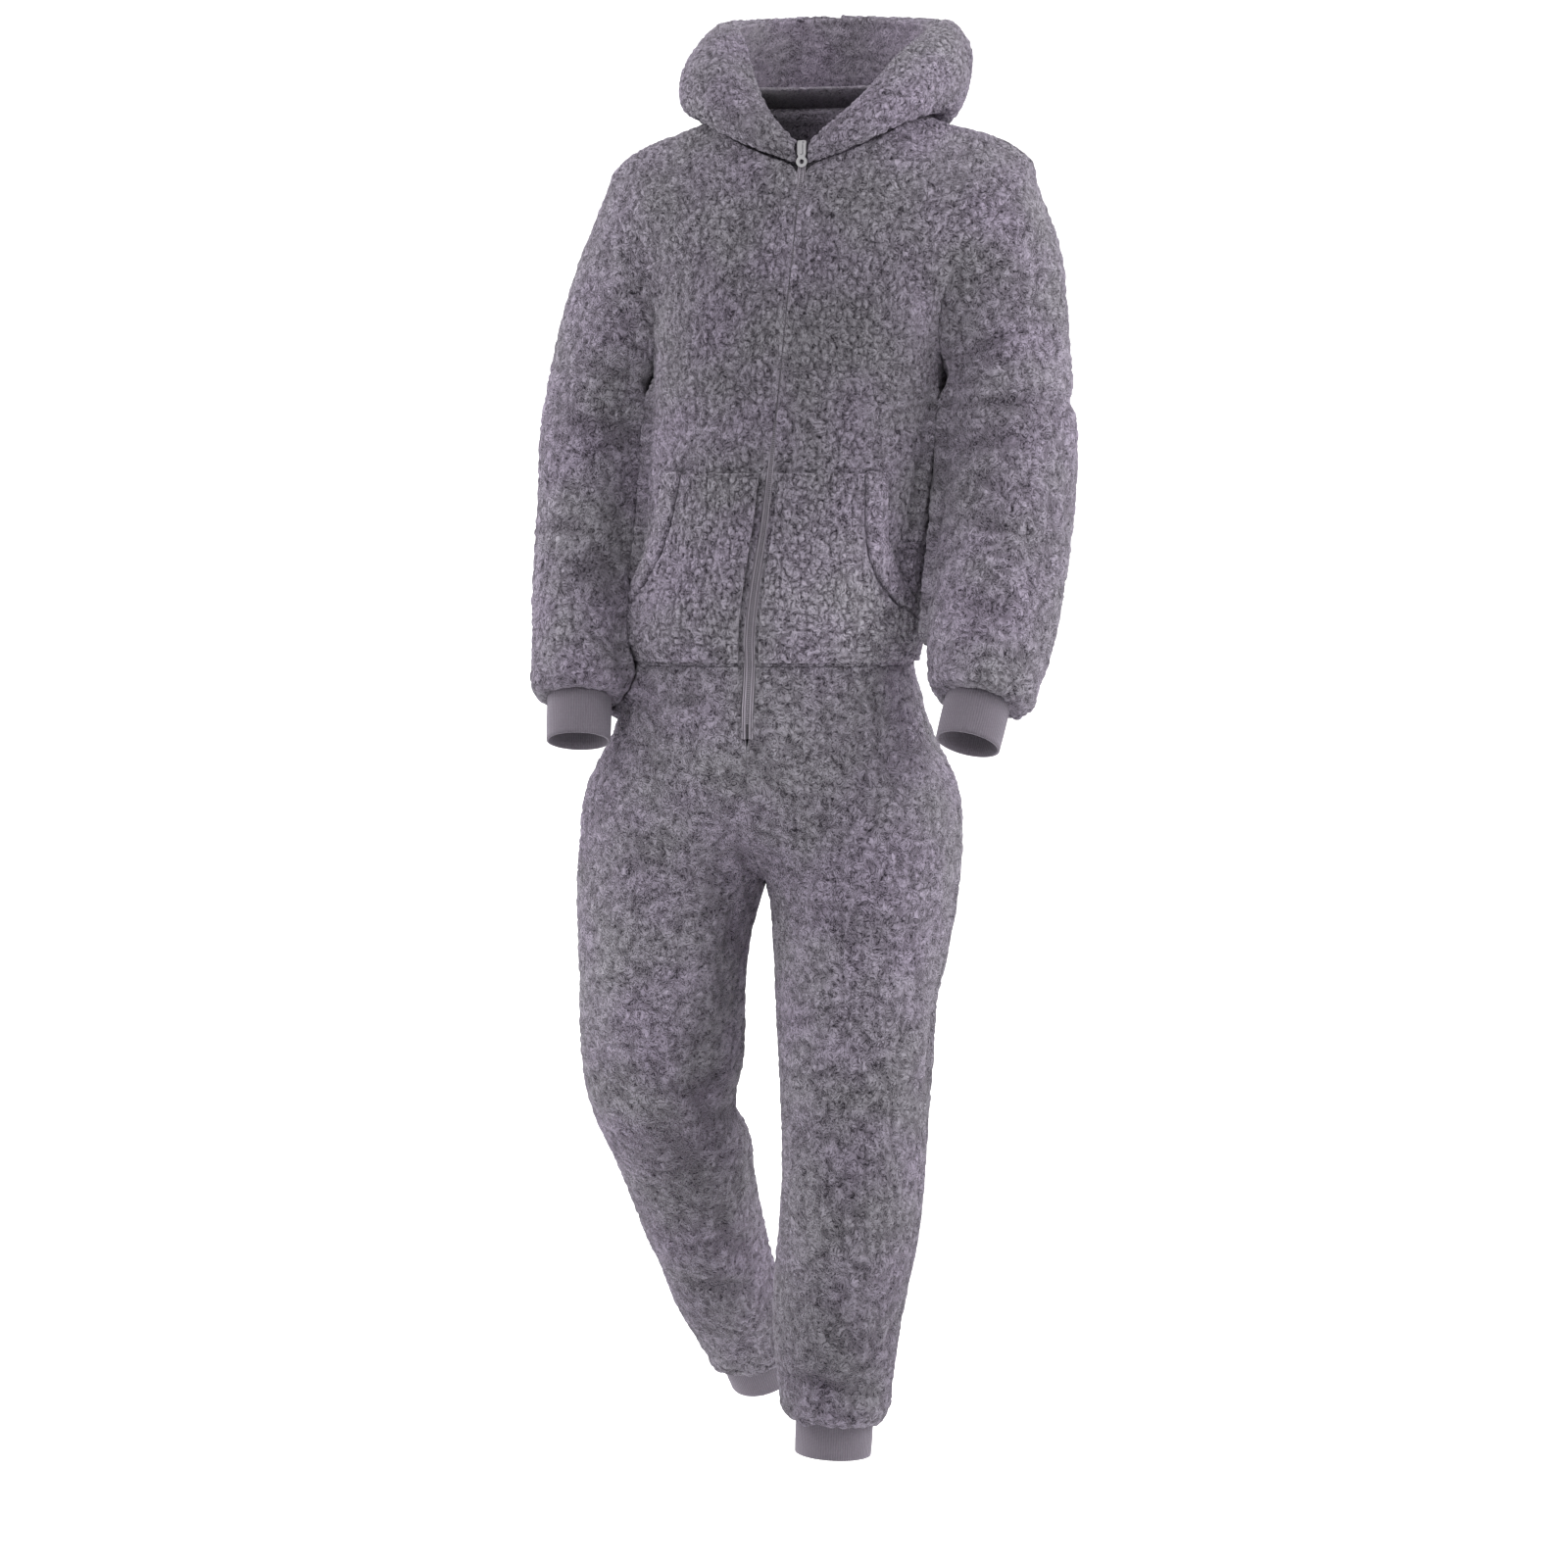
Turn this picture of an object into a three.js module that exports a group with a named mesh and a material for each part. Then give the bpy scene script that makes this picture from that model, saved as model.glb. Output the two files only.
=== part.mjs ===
// Hooded fleece onesie pyjama, worn and filled out in a walking pose, at real size.
// Millimetres, +Z up, the front faces -Y and +X is the wearer's left.
// The origin is on the axis of the neck, 14 mm above the lower end of the neckline seam.
// The cloth is modelled as walls. A smooth body form, made from tables of sections, gives the outer
// face of the pile; every cut piece is a grid of points on that form, moved in by its thickness.
import * as THREE from "three";

// Driving dimensions
const FLEECE = 7; // sherpa wall, from backing to the tips of the pile
const KNIT = 3; // doubled rib knit of the cuffs
const LINING = 3; // lighter fleece inside the hood
const TAPE = 1.4; // woven tape of the zip
const SEAM_GAP = 0.34; // between two neighbouring pieces
const SEAM_DIP = 2.6; // how far the pile is pressed down along a seam
const WAIST_Z = -552; // seam between jacket part and trousers
const UNDERARM_Z = -246; // lowest point of the armhole
const SHOULDER_TIP_Z = -4; // top of the armhole
const NECK_FRONT_Z = -14; // neckline seam at the zip
const NECK_SIDE_Z = 58; // neckline seam at the shoulder
const NECK_BACK_Z = 62; // neckline seam at the centre back
const ZIP_BOTTOM_Z = -621; // lower end of the zip, below the waist seam
const HIP_LEVEL_Z = -690; // where the crotch seam starts to turn under
const LEG_TOP_Z = -800; // side seam height level with the crotch
const CUFF_LENGTH = 52; // at the wrists
const CUFF_RADIUS = 36;
const ANKLE_LENGTH = 42;
const ANKLE_RADIUS = 43.5;

// How many cells each piece has
const FRONT_COLUMNS = 8;
const BODY_ROWS = 12; // from the waist seam to the underarm
const NECK_ROWS = 6; // the upper rows of a front, which end at the neckline
const SLEEVE_CAP_ROWS = 7; // the fan of rows round the shoulder
const SLEEVE_ROWS = 13;
const HIP_ROWS = 11; // from the waist seam to the crotch
const LEG_COLUMNS = 8;
const LEG_ROWS = 20; // from the crotch to the ankle seam
const HOOD_ROWS = 10;
const LINING_ROWS = 6;

// Body sections from the neck down: centre, half width, half depths in front and behind, squareness
const TORSO = [
  { z: 110, x: 6, y: 10, wide: 50, front: 50, back: 48, square: 2.1 },
  { z: 80, x: 6, y: 6, wide: 74, front: 60, back: 56, square: 2.1 },
  { z: 58, x: 6, y: 2, wide: 98, front: 70, back: 62, square: 2.1 },
  { z: 40, x: 6, y: 0, wide: 136, front: 80, back: 70, square: 2.15 },
  { z: 22, x: 6, y: 0, wide: 176, front: 88, back: 78, square: 2.2 },
  { z: 0, x: 5, y: 0, wide: 202, front: 97, back: 87, square: 2.25 },
  { z: -30, x: 4, y: 0, wide: 209, front: 107, back: 97, square: 2.3 },
  { z: -70, x: 2, y: 0, wide: 202, front: 119, back: 106, square: 2.4 },
  { z: -120, x: -1, y: 0, wide: 186, front: 131, back: 114, square: 2.5 },
  { z: -180, x: -6, y: 0, wide: 174, front: 139, back: 120, square: 2.6 },
  { z: -240, x: -11, y: 0, wide: 166, front: 142, back: 121, square: 2.6 },
  { z: -310, x: -19, y: 0, wide: 162, front: 141, back: 118, square: 2.5 },
  { z: -400, x: -28, y: -2, wide: 161, front: 143, back: 118, square: 2.4 },
  { z: -470, x: -38, y: -4, wide: 161, front: 148, back: 125, square: 2.4 },
  { z: -520, x: -42, y: -5, wide: 163, front: 153, back: 131, square: 2.4 },
  { z: -552, x: -43, y: -6, wide: 155, front: 145, back: 125, square: 2.4 },
  { z: -600, x: -45, y: -7, wide: 168, front: 147, back: 134, square: 2.4 },
  { z: -680, x: -48, y: -8, wide: 179, front: 134, back: 134, square: 2.35 },
  { z: -750, x: -52, y: -8, wide: 178, front: 108, back: 112, square: 2.3 },
  { z: -810, x: -54, y: -8, wide: 150, front: 56, back: 60, square: 2.2 },
];

// Sleeve sections along each arm: centre and radius
const ARM_LEFT = [
  { x: 172, y: 2, z: -68, r: 93 },
  { x: 192, y: 0, z: -105, r: 86 },
  { x: 205, y: -6, z: -150, r: 76 },
  { x: 210.5, y: -14, z: -203, r: 75.5 },
  { x: 216.5, y: -22, z: -257, r: 73.5 },
  { x: 220.5, y: -30, z: -310, r: 76 },
  { x: 221.5, y: -42, z: -363, r: 74.5 },
  { x: 218.5, y: -56, z: -417, r: 73.5 },
  { x: 214.5, y: -75, z: -470, r: 72.5 },
  { x: 209.5, y: -97, z: -522, r: 69.5 },
  { x: 204, y: -118, z: -570, r: 59 },
  { x: 197, y: -134, z: -604, r: 52 },
  { x: 189, y: -150, z: -640, r: 40 },
];
const ARM_RIGHT = [
  { x: -155, y: 2, z: -72, r: 94 },
  { x: -176, y: 2, z: -106, r: 87 },
  { x: -197, y: 0, z: -150, r: 80 },
  { x: -218, y: -5, z: -203, r: 74 },
  { x: -233, y: -12, z: -257, r: 68 },
  { x: -244, y: -20, z: -310, r: 64 },
  { x: -249, y: -30, z: -363, r: 59 },
  { x: -250, y: -44, z: -417, r: 58 },
  { x: -250, y: -63, z: -472, r: 57 },
  { x: -245, y: -84, z: -526, r: 54 },
  { x: -242, y: -102, z: -570, r: 55 },
  { x: -240, y: -113, z: -606, r: 48 },
  { x: -237, y: -121, z: -640, r: 40 },
];
const SLEEVE_TOP_STATION = 4; // first full ring, just below the underarm
const SLEEVE_END_STATION = { left: 10.15, right: 10.1 };

// Leg sections from the hip down: centre and radius
const LEG_LEFT = [
  { x: 48, y: -8, z: -660, r: 104 },
  { x: 56, y: -14, z: -740, r: 113 },
  { x: 60, y: -24, z: -800, r: 106 },
  { x: 59, y: -31, z: -847, r: 101 },
  { x: 56, y: -44, z: -900, r: 93 },
  { x: 57, y: -58, z: -951, r: 89.5 },
  { x: 60, y: -74, z: -1002, r: 86 },
  { x: 60, y: -84, z: -1054, r: 82.5 },
  { x: 60, y: -90, z: -1106, r: 80 },
  { x: 56, y: -92, z: -1159, r: 79 },
  { x: 48, y: -93, z: -1212, r: 76 },
  { x: 42, y: -93, z: -1265, r: 72 },
  { x: 40, y: -93, z: -1318, r: 66 },
  { x: 41, y: -93, z: -1356, r: 61 },
  { x: 34, y: -93, z: -1410, r: 42 },
];
const LEG_RIGHT = [
  { x: -142, y: -6, z: -660, r: 98 },
  { x: -156, y: -5, z: -745, r: 108 },
  { x: -165, y: -7, z: -800, r: 105 },
  { x: -170, y: -8, z: -855, r: 99 },
  { x: -173, y: -3, z: -910, r: 96 },
  { x: -175, y: 7, z: -966, r: 96 },
  { x: -178, y: 26, z: -1024, r: 91 },
  { x: -170, y: 54, z: -1083, r: 79 },
  { x: -161, y: 86, z: -1143, r: 74 },
  { x: -150, y: 119, z: -1205, r: 70 },
  { x: -139, y: 151, z: -1267, r: 66 },
  { x: -119, y: 191, z: -1331, r: 58 },
  { x: -109, y: 214, z: -1372, r: 50 },
  { x: -99, y: 240, z: -1416, r: 40 },
];
const LEG_TOP_STATION = 2; // level with the crotch
const LEG_END_STATION = { left: 13, right: 11.45 };

// Largest folds: a soft trough (a ridge, if depth is negative) along a line from one point to another
const FOLDS = [
  { name: "behind_right_knee", from: [-88, 60, -1030], to: [-190, 130, -1020], width: 24, depth: 26 },
  { name: "right_calf_bulge", from: [-84, 90, -1096], to: [-150, 170, -1090], width: 34, depth: -8 },
  { name: "right_shin_sag", from: [-210, 110, -1270], to: [-60, 110, -1250], width: 22, depth: 9 },
  { name: "left_ankle_sag", from: [-30, -140, -1322], to: [110, -150, -1338], width: 18, depth: 9 },
  { name: "left_ankle_roll", from: [-30, -140, -1290], to: [110, -140, -1302], width: 22, depth: -5 },
  { name: "left_elbow_upper", from: [160, -90, -318], to: [290, -70, -340], width: 20, depth: 5 },
  { name: "left_elbow_lower", from: [160, -130, -440], to: [290, -110, -425], width: 22, depth: 6 },
  { name: "right_elbow_upper", from: [-190, -80, -345], to: [-310, -60, -360], width: 20, depth: 5 },
  { name: "right_elbow_lower", from: [-200, -110, -450], to: [-310, -80, -440], width: 22, depth: 6 },
  { name: "front_crotch_left", from: [-40, -140, -780], to: [80, -140, -700], width: 24, depth: 3.5 },
  { name: "front_crotch_right", from: [-70, -140, -780], to: [-180, -120, -715], width: 24, depth: 3 },
  { name: "seat_left", from: [-30, 132, -780], to: [90, 110, -830], width: 28, depth: 7 },
  { name: "seat_right", from: [-80, 132, -780], to: [-190, 110, -836], width: 28, depth: 7 },
  { name: "back_waist", from: [-150, 118, -440], to: [70, 122, -455], width: 32, depth: 6 },
];

// Armhole from the underarm to the shoulder tip: level angles of its front half and its back half
const ARMHOLE = [
  { z: UNDERARM_Z, front: 90, back: 90 },
  { z: -237, front: 77, back: 103 },
  { z: -216, front: 67, back: 114 },
  { z: -184, front: 63, back: 119 },
  { z: -145, front: 63, back: 120 },
  { z: -105, front: 65, back: 117 },
  { z: -68, front: 69, back: 112 },
  { z: -38, front: 75, back: 106 },
  { z: -15, front: 82, back: 98 },
  { z: SHOULDER_TIP_Z, front: 90, back: 90 },
];

// Neckline: heights of the seam at level angles from the zip to the centre back
const NECKLINE = [
  { angle: 4, z: NECK_FRONT_Z },
  { angle: 16, z: -8 },
  { angle: 32, z: 4 },
  { angle: 48, z: 20 },
  { angle: 62, z: 36 },
  { angle: 76, z: 50 },
  { angle: 90, z: NECK_SIDE_Z },
  { angle: 112, z: 59 },
  { angle: 135, z: 60 },
  { angle: 158, z: 61 },
  { angle: 180, z: NECK_BACK_Z },
];

// The hood at the same angles as the neckline, each point as distance from the neck's axis and height:
// under the roll, its widest point, its shoulder, the rim, and the edge inside the rim,
// then the lining's side, floor and lower edge
const HOOD_AXIS = { x: 5, y: -8 };
const HOOD = [
  { under: [98, -9], widest: [101, -1], high: [99, 6], rim: [91, 12], edge: [81, 9], side: [80, 3], floor: [79.5, -3], foot: [79, -8] },
  { under: [102, -2], widest: [110, 9], high: [107, 21], rim: [96, 28], edge: [84, 23], side: [83, 13], floor: [82, 5], foot: [81, -1] },
  { under: [113, 9], widest: [122, 25], high: [117, 42], rim: [100, 50], edge: [85, 44], side: [86, 32], floor: [86, 20], foot: [85, 11] },
  { under: [126, 23], widest: [138, 46], high: [131, 67], rim: [106, 76], edge: [88, 68], side: [100, 54], floor: [98, 40], foot: [94, 31] },
  { under: [137, 36], widest: [150, 62], high: [143, 88], rim: [112, 101], edge: [92, 92], side: [116, 74], floor: [110, 59], foot: [95, 55] },
  { under: [144, 45], widest: [158, 76], high: [152, 107], rim: [118, 122], edge: [97, 112], side: [126, 90], floor: [117, 74], foot: [89, 72] },
  { under: [148, 48], widest: [165, 86], high: [159, 119], rim: [126, 136], edge: [104, 125], side: [134, 98], floor: [120, 78], foot: [81, 80] },
  { under: [148, 43], widest: [176, 86], high: [178, 134], rim: [152, 158], edge: [127, 147], side: [148, 96], floor: [124, 70], foot: [72, 83] },
  { under: [150, 18], widest: [186, 72], high: [190, 142], rim: [170, 172], edge: [147, 160], side: [160, 86], floor: [128, 56], foot: [66, 85] },
  { under: [146, 4], widest: [182, 62], high: [187, 150], rim: [170, 184], edge: [147, 171], side: [156, 80], floor: [124, 50], foot: [62, 86] },
  { under: [140, 0], widest: [176, 58], high: [181, 153], rim: [164, 189], edge: [141, 176], side: [150, 76], floor: [118, 48], foot: [61, 87] },
];
// At the wearer's right the hood's rim stands nearer the neck and higher than at the left
const RIGHT_RIM = { inward: 22, up: 8, widestAt: 6, spread: 3 };

// The zip: half the width left open between the two fronts
const ZIP_GAP = [
  { z: -640, half: 7 },
  { z: -350, half: 6.6 },
  { z: -270, half: 3.8 },
  { z: -70, half: 3.8 },
  { z: -26, half: 6.2 },
  { z: 20, half: 6.4 },
];

// Pocket: level angles of the two edges of the band along its opening, from the side seam to the top
const POCKET = [
  { z: -512, inner: 86, outer: 88 },
  { z: -500, inner: 72, outer: 84 },
  { z: -482, inner: 59, outer: 72 },
  { z: -460, inner: 50, outer: 60.5 },
  { z: -432, inner: 44.5, outer: 52.5 },
  { z: -400, inner: 42, outer: 49.5 },
  { z: -372, inner: 41, outer: 48.5 },
  { z: -346, inner: 40, outer: 47.5 },
];

// Small vector helpers, on [x, y, z] arrays
const add = (a, b) => [a[0] + b[0], a[1] + b[1], a[2] + b[2]];
const sub = (a, b) => [a[0] - b[0], a[1] - b[1], a[2] - b[2]];
const scale = (a, k) => [a[0] * k, a[1] * k, a[2] * k];
const dot = (a, b) => a[0] * b[0] + a[1] * b[1] + a[2] * b[2];
const cross = (a, b) => [a[1] * b[2] - a[2] * b[1], a[2] * b[0] - a[0] * b[2], a[0] * b[1] - a[1] * b[0]];
const length = (a) => Math.hypot(a[0], a[1], a[2]);
const unit = (a) => scale(a, 1 / (length(a) || 1));
const mix = (a, b, t) => add(scale(a, 1 - t), scale(b, t));
const lerp = (a, b, t) => a + (b - a) * t;
const clamp01 = (t) => Math.min(1, Math.max(0, t));
const smooth = (t) => clamp01(t) ** 2 * (3 - 2 * clamp01(t));
const range = (n) => Array.from({ length: n }, (_, i) => i);

// A smooth value of a table's column at a position along its key column
function column(table, key, name) {
  const rows = [...table].sort((a, b) => a[key] - b[key]);
  const slope = (i) => {
    const lo = rows[Math.max(0, i - 1)];
    const hi = rows[Math.min(rows.length - 1, i + 1)];
    return (hi[name] - lo[name]) / (hi[key] - lo[key]);
  };
  return (at) => {
    let i = rows.findIndex((row) => row[key] > at) - 1;
    if (at <= rows[0][key]) i = 0;
    if (at >= rows[rows.length - 1][key]) i = rows.length - 2;
    const [p, q] = [rows[i], rows[i + 1]];
    const span = q[key] - p[key];
    const t = clamp01((at - p[key]) / span);
    const [t2, t3] = [t * t, t * t * t];
    return (
      (2 * t3 - 3 * t2 + 1) * p[name] +
      (t3 - 2 * t2 + t) * span * slope(i) +
      (3 * t2 - 2 * t3) * q[name] +
      (t3 - t2) * span * slope(i + 1)
    );
  };
}

// The torso's form: negative inside, about the distance in millimetres near the surface
const torsoAt = Object.fromEntries(
  ["x", "y", "wide", "front", "back", "square"].map((name) => [name, column(TORSO, "z", name)]),
);
function torsoForm([x, y, z]) {
  const dx = x - torsoAt.x(z);
  const dy = y - torsoAt.y(z);
  const wide = torsoAt.wide(z);
  const deep = dy < 0 ? torsoAt.front(z) : torsoAt.back(z);
  const n = torsoAt.square(z);
  const share = (Math.abs(dx / wide) ** n + Math.abs(dy / deep) ** n) ** (1 / n);
  return (share - 1) * Math.min(wide, deep);
}

// A limb's axis as a smooth line of points with radii, found once
const AXIS_STEPS = 96;
function makeAxis(stations) {
  const path = new THREE.CatmullRomCurve3(
    stations.map((s) => new THREE.Vector3(s.x, s.y, s.z)),
    false,
    "centripetal",
  );
  const last = stations.length - 1;
  const radii = column(stations.map((s, i) => ({ i, r: s.r })), "i", "r");
  return range(AXIS_STEPS + 1).map((k) => {
    const t = k / AXIS_STEPS;
    const at = path.getPoint(t);
    const ahead = path.getTangent(t);
    return { at: [at.x, at.y, at.z], ahead: [ahead.x, ahead.y, ahead.z], r: radii(t * last) };
  });
}

// The axis between its steps, at a share from 0 to 1 of its stations
function axisAt(axis, share) {
  const k = clamp01(share) * AXIS_STEPS;
  const i = Math.min(AXIS_STEPS - 1, Math.floor(k));
  const t = k - i;
  const [p, q] = [axis[i], axis[i + 1]];
  return { at: mix(p.at, q.at, t), ahead: unit(mix(p.ahead, q.ahead, t)), r: lerp(p.r, q.r, t) };
}

// A limb's form: distance from its axis, less the radius there
function limbForm(axis) {
  return (p) => {
    let best = Infinity;
    for (let i = 0; i < AXIS_STEPS; i += 1) {
      const a = axis[i];
      const along = sub(axis[i + 1].at, a.at);
      const t = clamp01(dot(sub(p, a.at), along) / dot(along, along));
      const away = length(sub(p, mix(a.at, axis[i + 1].at, t))) - lerp(a.r, axis[i + 1].r, t);
      best = Math.min(best, away);
    }
    return best;
  };
}

// The union of two forms, rounded off over a length where they meet
function blend(a, b, over) {
  const h = Math.max(over - Math.abs(a - b), 0) / over;
  return Math.min(a, b) - (h * h * over) / 4;
}

const sides = { left: 1, right: -1 };
const armAxis = { left: makeAxis(ARM_LEFT), right: makeAxis(ARM_RIGHT) };
const legAxis = { left: makeAxis(LEG_LEFT), right: makeAxis(LEG_RIGHT) };
const armForm = { left: limbForm(armAxis.left), right: limbForm(armAxis.right) };
const legForm = { left: limbForm(legAxis.left), right: limbForm(legAxis.right) };

// The jacket part takes in each shoulder, and lets go of the arm towards the underarm
const SHOULDER_BLEND = 24;
function jacketForm(p) {
  const release = 90 * smooth((-120 - p[2]) / 110);
  const arm = (p[0] > 0 ? armForm.left(p) : armForm.right(p)) + release;
  return blend(torsoForm(p), arm, SHOULDER_BLEND);
}

// A sleeve follows the shoulder at its top, and hangs beside the body clear of it further down
const SLEEVE_CLEARANCE = 1.4;
const POCKET_ROOM = 9.4; // more, beside the pockets and the hem
const sleeveForm = (side) => (p) => {
  const arm = armForm[side](p);
  const torso = torsoForm(p);
  const room = SLEEVE_CLEARANCE + POCKET_ROOM * smooth((-432 - p[2]) / 44);
  const free = Math.max(arm, room - torso);
  const cap = blend(torso, arm, SHOULDER_BLEND);
  return lerp(cap, free, smooth((-150 - p[2]) / 80));
};

// The trousers' form: lower torso and both legs, which part at the crotch
function trouserForm(p) {
  const torso = torsoForm(p) + 160 * smooth((-735 - p[2]) / 120);
  const over = lerp(46, 10, smooth((-700 - p[2]) / 80));
  const fade = 60 * smooth((p[2] + 690) / 120);
  const legs = blend(legForm.left(p), legForm.right(p), over) + fade;
  return blend(torso, legs, over);
}

function gradient(form, p) {
  const e = 0.5;
  const along = (axis) => {
    const [hi, lo] = [[...p], [...p]];
    hi[axis] += e;
    lo[axis] -= e;
    return (form(hi) - form(lo)) / (2 * e);
  };
  return [along(0), along(1), along(2)];
}

// Moves a point onto a form along its slope
function settle(form, start) {
  let p = start;
  for (let k = 0; k < 12; k += 1) {
    const g = gradient(form, p);
    const value = form(p);
    if (Math.abs(value) < 0.01) break;
    const step = Math.max(-25, Math.min(25, value / Math.max(length(g), 0.2)));
    p = sub(p, scale(unit(g), step));
  }
  return p;
}

// Where a line from an inside point leaves a form
function leave(form, from, way) {
  let [near, far] = [0, 360];
  for (let reach = 6; reach < 360; reach += 6) {
    if (form(add(from, scale(way, reach))) > 0) {
      [near, far] = [reach - 6, reach];
      break;
    }
  }
  for (let k = 0; k < 20; k += 1) {
    const middle = (near + far) / 2;
    if (form(add(from, scale(way, middle))) > 0) far = middle;
    else near = middle;
  }
  return add(from, scale(way, far));
}

// Level directions: 0 degrees is in front, 90 degrees at the wearer's left
const radians = (degrees) => (degrees * Math.PI) / 180;
const levelWay = (angle) => [Math.sin(angle), -Math.cos(angle), 0];
const angleOf = (p, from) => Math.atan2(p[0] - from[0], -(p[1] - from[1]));
const bodyCentre = (z) => [torsoAt.x(z), torsoAt.y(z), z];
const onJacket = (side, degrees, z) =>
  leave(jacketForm, bodyCentre(z), levelWay(side * radians(degrees)));

function foldDepth(p) {
  let sum = 0;
  for (const fold of FOLDS) {
    const along = sub(fold.to, fold.from);
    const t = clamp01(dot(sub(p, fold.from), along) / dot(along, along));
    const away = length(sub(p, mix(fold.from, fold.to, t)));
    sum += fold.depth * Math.exp(-((away / fold.width) ** 2));
  }
  return sum;
}

// A cloth point: where it lies on the form, folds taken in, and its outward direction
function clothPoint(form, p) {
  const out = unit(gradient(form, p));
  return { at: sub(p, scale(out, foldDepth(p))), out };
}

// Outward directions worked out from a grid's own points; away is a point inside the curve
function gridNormals(points, away) {
  const [rows, columns] = [points.length, points[0].length];
  return points.map((row, r) =>
    row.map((at, c) => {
      const down = sub(points[Math.min(rows - 1, r + 1)][c], points[Math.max(0, r - 1)][c]);
      const across = sub(points[r][Math.min(columns - 1, c + 1)], points[r][Math.max(0, c - 1)]);
      return { at, out: scale(unit(cross(across, down)), away) };
    }),
  );
}

// Closed wall of cloth from one or more grids of cloth points that share their common edge.
// Outer points along cut edges dip, as pile does at a seam, and stand clear of the next piece.
function wall(grids, thickness, { closed = false, dip = SEAM_DIP, trim = SEAM_GAP / 2 } = {}) {
  const corners = [];
  const known = new Map();
  const place = (point) => {
    const key = point.at.map((v) => Math.round(v * 1000)).join();
    if (!known.has(key)) known.set(key, corners.push({ ...point, inward: [] }) - 1);
    return known.get(key);
  };
  const quads = [];
  for (const grid of grids) {
    const numbers = grid.map((row) => row.map(place));
    const columns = grid[0].length;
    for (const r of range(grid.length - 1))
      for (const c of range(closed ? columns : columns - 1)) {
        const d = (c + 1) % columns;
        quads.push([numbers[r][c], numbers[r][d], numbers[r + 1][d], numbers[r + 1][c]]);
      }
  }
  // Edges used once are cut edges. Each knows which way the cloth lies.
  const used = new Set(quads.flatMap((q) => q.map((v, i) => `${v},${q[(i + 1) % 4]}`)));
  const cuts = [];
  for (const q of quads)
    q.forEach((v, i) => {
      const w = q[(i + 1) % 4];
      if (used.has(`${w},${v}`)) return;
      cuts.push([v, w]);
      const middle = scale(q.map((k) => corners[k].at).reduce(add), 0.25);
      const edge = unit(sub(corners[w].at, corners[v].at));
      const into = sub(middle, corners[v].at);
      const way = unit(sub(into, scale(edge, dot(into, edge))));
      corners[v].inward.push(way);
      corners[w].inward.push(way);
    });
  const sunk = (corner) => (corner.inward.length ? (corner.dip ?? dip) : 0);
  const outer = corners.map((corner) => {
    const { at, out, inward } = corner;
    if (!inward.length) return at;
    const mitre = 1 + Math.max(-0.4, dot(inward[0], inward[inward.length - 1]));
    const clear = add(at, scale(add(inward[0], inward[inward.length - 1]), (corner.trim ?? trim) / mitre));
    return sub(clear, scale(out, sunk(corner)));
  });
  const inner = corners.map((corner, i) =>
    sub(outer[i], scale(corner.out, (corner.thick ?? thickness) - sunk(corner))),
  );
  const shift = corners.length;
  const faces = quads.flatMap(([a, b, c, d]) => [
    [a, b, c],
    [a, c, d],
    [a + shift, c + shift, b + shift],
    [a + shift, d + shift, c + shift],
  ]);
  // Neighbouring pieces divide their common edge the same way
  const rank = ({ at }) => at[0] + 0.37 * at[1] + 0.73 * at[2];
  for (const [v, w] of cuts)
    if (rank(corners[v]) < rank(corners[w])) faces.push([w, v, w + shift], [v, v + shift, w + shift]);
    else faces.push([w, v, v + shift], [w, v + shift, w + shift]);
  return solidOf([...outer, ...inner], faces);
}

// Geometry from points and triangles, turned so that its faces point out
function solidOf(points, faces) {
  let volume = 0;
  for (const [a, b, c] of faces) volume += dot(points[a], cross(points[b], points[c]));
  const order = volume < 0 ? faces.map(([a, b, c]) => [a, c, b]) : faces;
  const geometry = new THREE.BufferGeometry();
  geometry.setAttribute("position", new THREE.Float32BufferAttribute(points.flat(), 3));
  geometry.setIndex(order.flat());
  geometry.computeVertexNormals();
  return geometry;
}

// Materials
const fleece = new THREE.MeshStandardMaterial({ color: 0x77717a, roughness: 0.95, metalness: 0 });
const hoodLining = new THREE.MeshStandardMaterial({ color: 0x7e7984, roughness: 0.95, metalness: 0 });
const ribKnit = new THREE.MeshStandardMaterial({ color: 0x6f6b74, roughness: 0.9, metalness: 0 });
const zipTape = new THREE.MeshStandardMaterial({ color: 0x6a6670, roughness: 0.8, metalness: 0 });
const nickel = new THREE.MeshStandardMaterial({ color: 0xcfcbd2, roughness: 0.25, metalness: 1 });

const onesie = new THREE.Group();
onesie.name = "hooded_fleece_onesie";
function piece(name, geometry, material) {
  const mesh = new THREE.Mesh(geometry, material.clone());
  mesh.name = name;
  onesie.add(mesh);
}

// A point at a share of the way along a line of points
function alongLine(points, share) {
  const lengths = [0];
  for (let i = 1; i < points.length; i += 1) lengths.push(lengths[i - 1] + length(sub(points[i], points[i - 1])));
  const want = share * lengths[lengths.length - 1];
  let i = lengths.findIndex((l) => l >= want);
  i = Math.max(1, i < 0 ? points.length - 1 : i);
  return mix(points[i - 1], points[i], (want - lengths[i - 1]) / (lengths[i] - lengths[i - 1] || 1));
}

// Jacket part
const ARMHOLE_ROWS = ARMHOLE.length - 1;
const TOP_ROWS = BODY_ROWS + ARMHOLE_ROWS;
const CHEST_ROWS = TOP_ROWS - NECK_ROWS;
const zipHalf = column(ZIP_GAP, "z", "half");
const waistForm = (p) => (p[2] > WAIST_Z ? jacketForm(p) : trouserForm(p));

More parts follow.
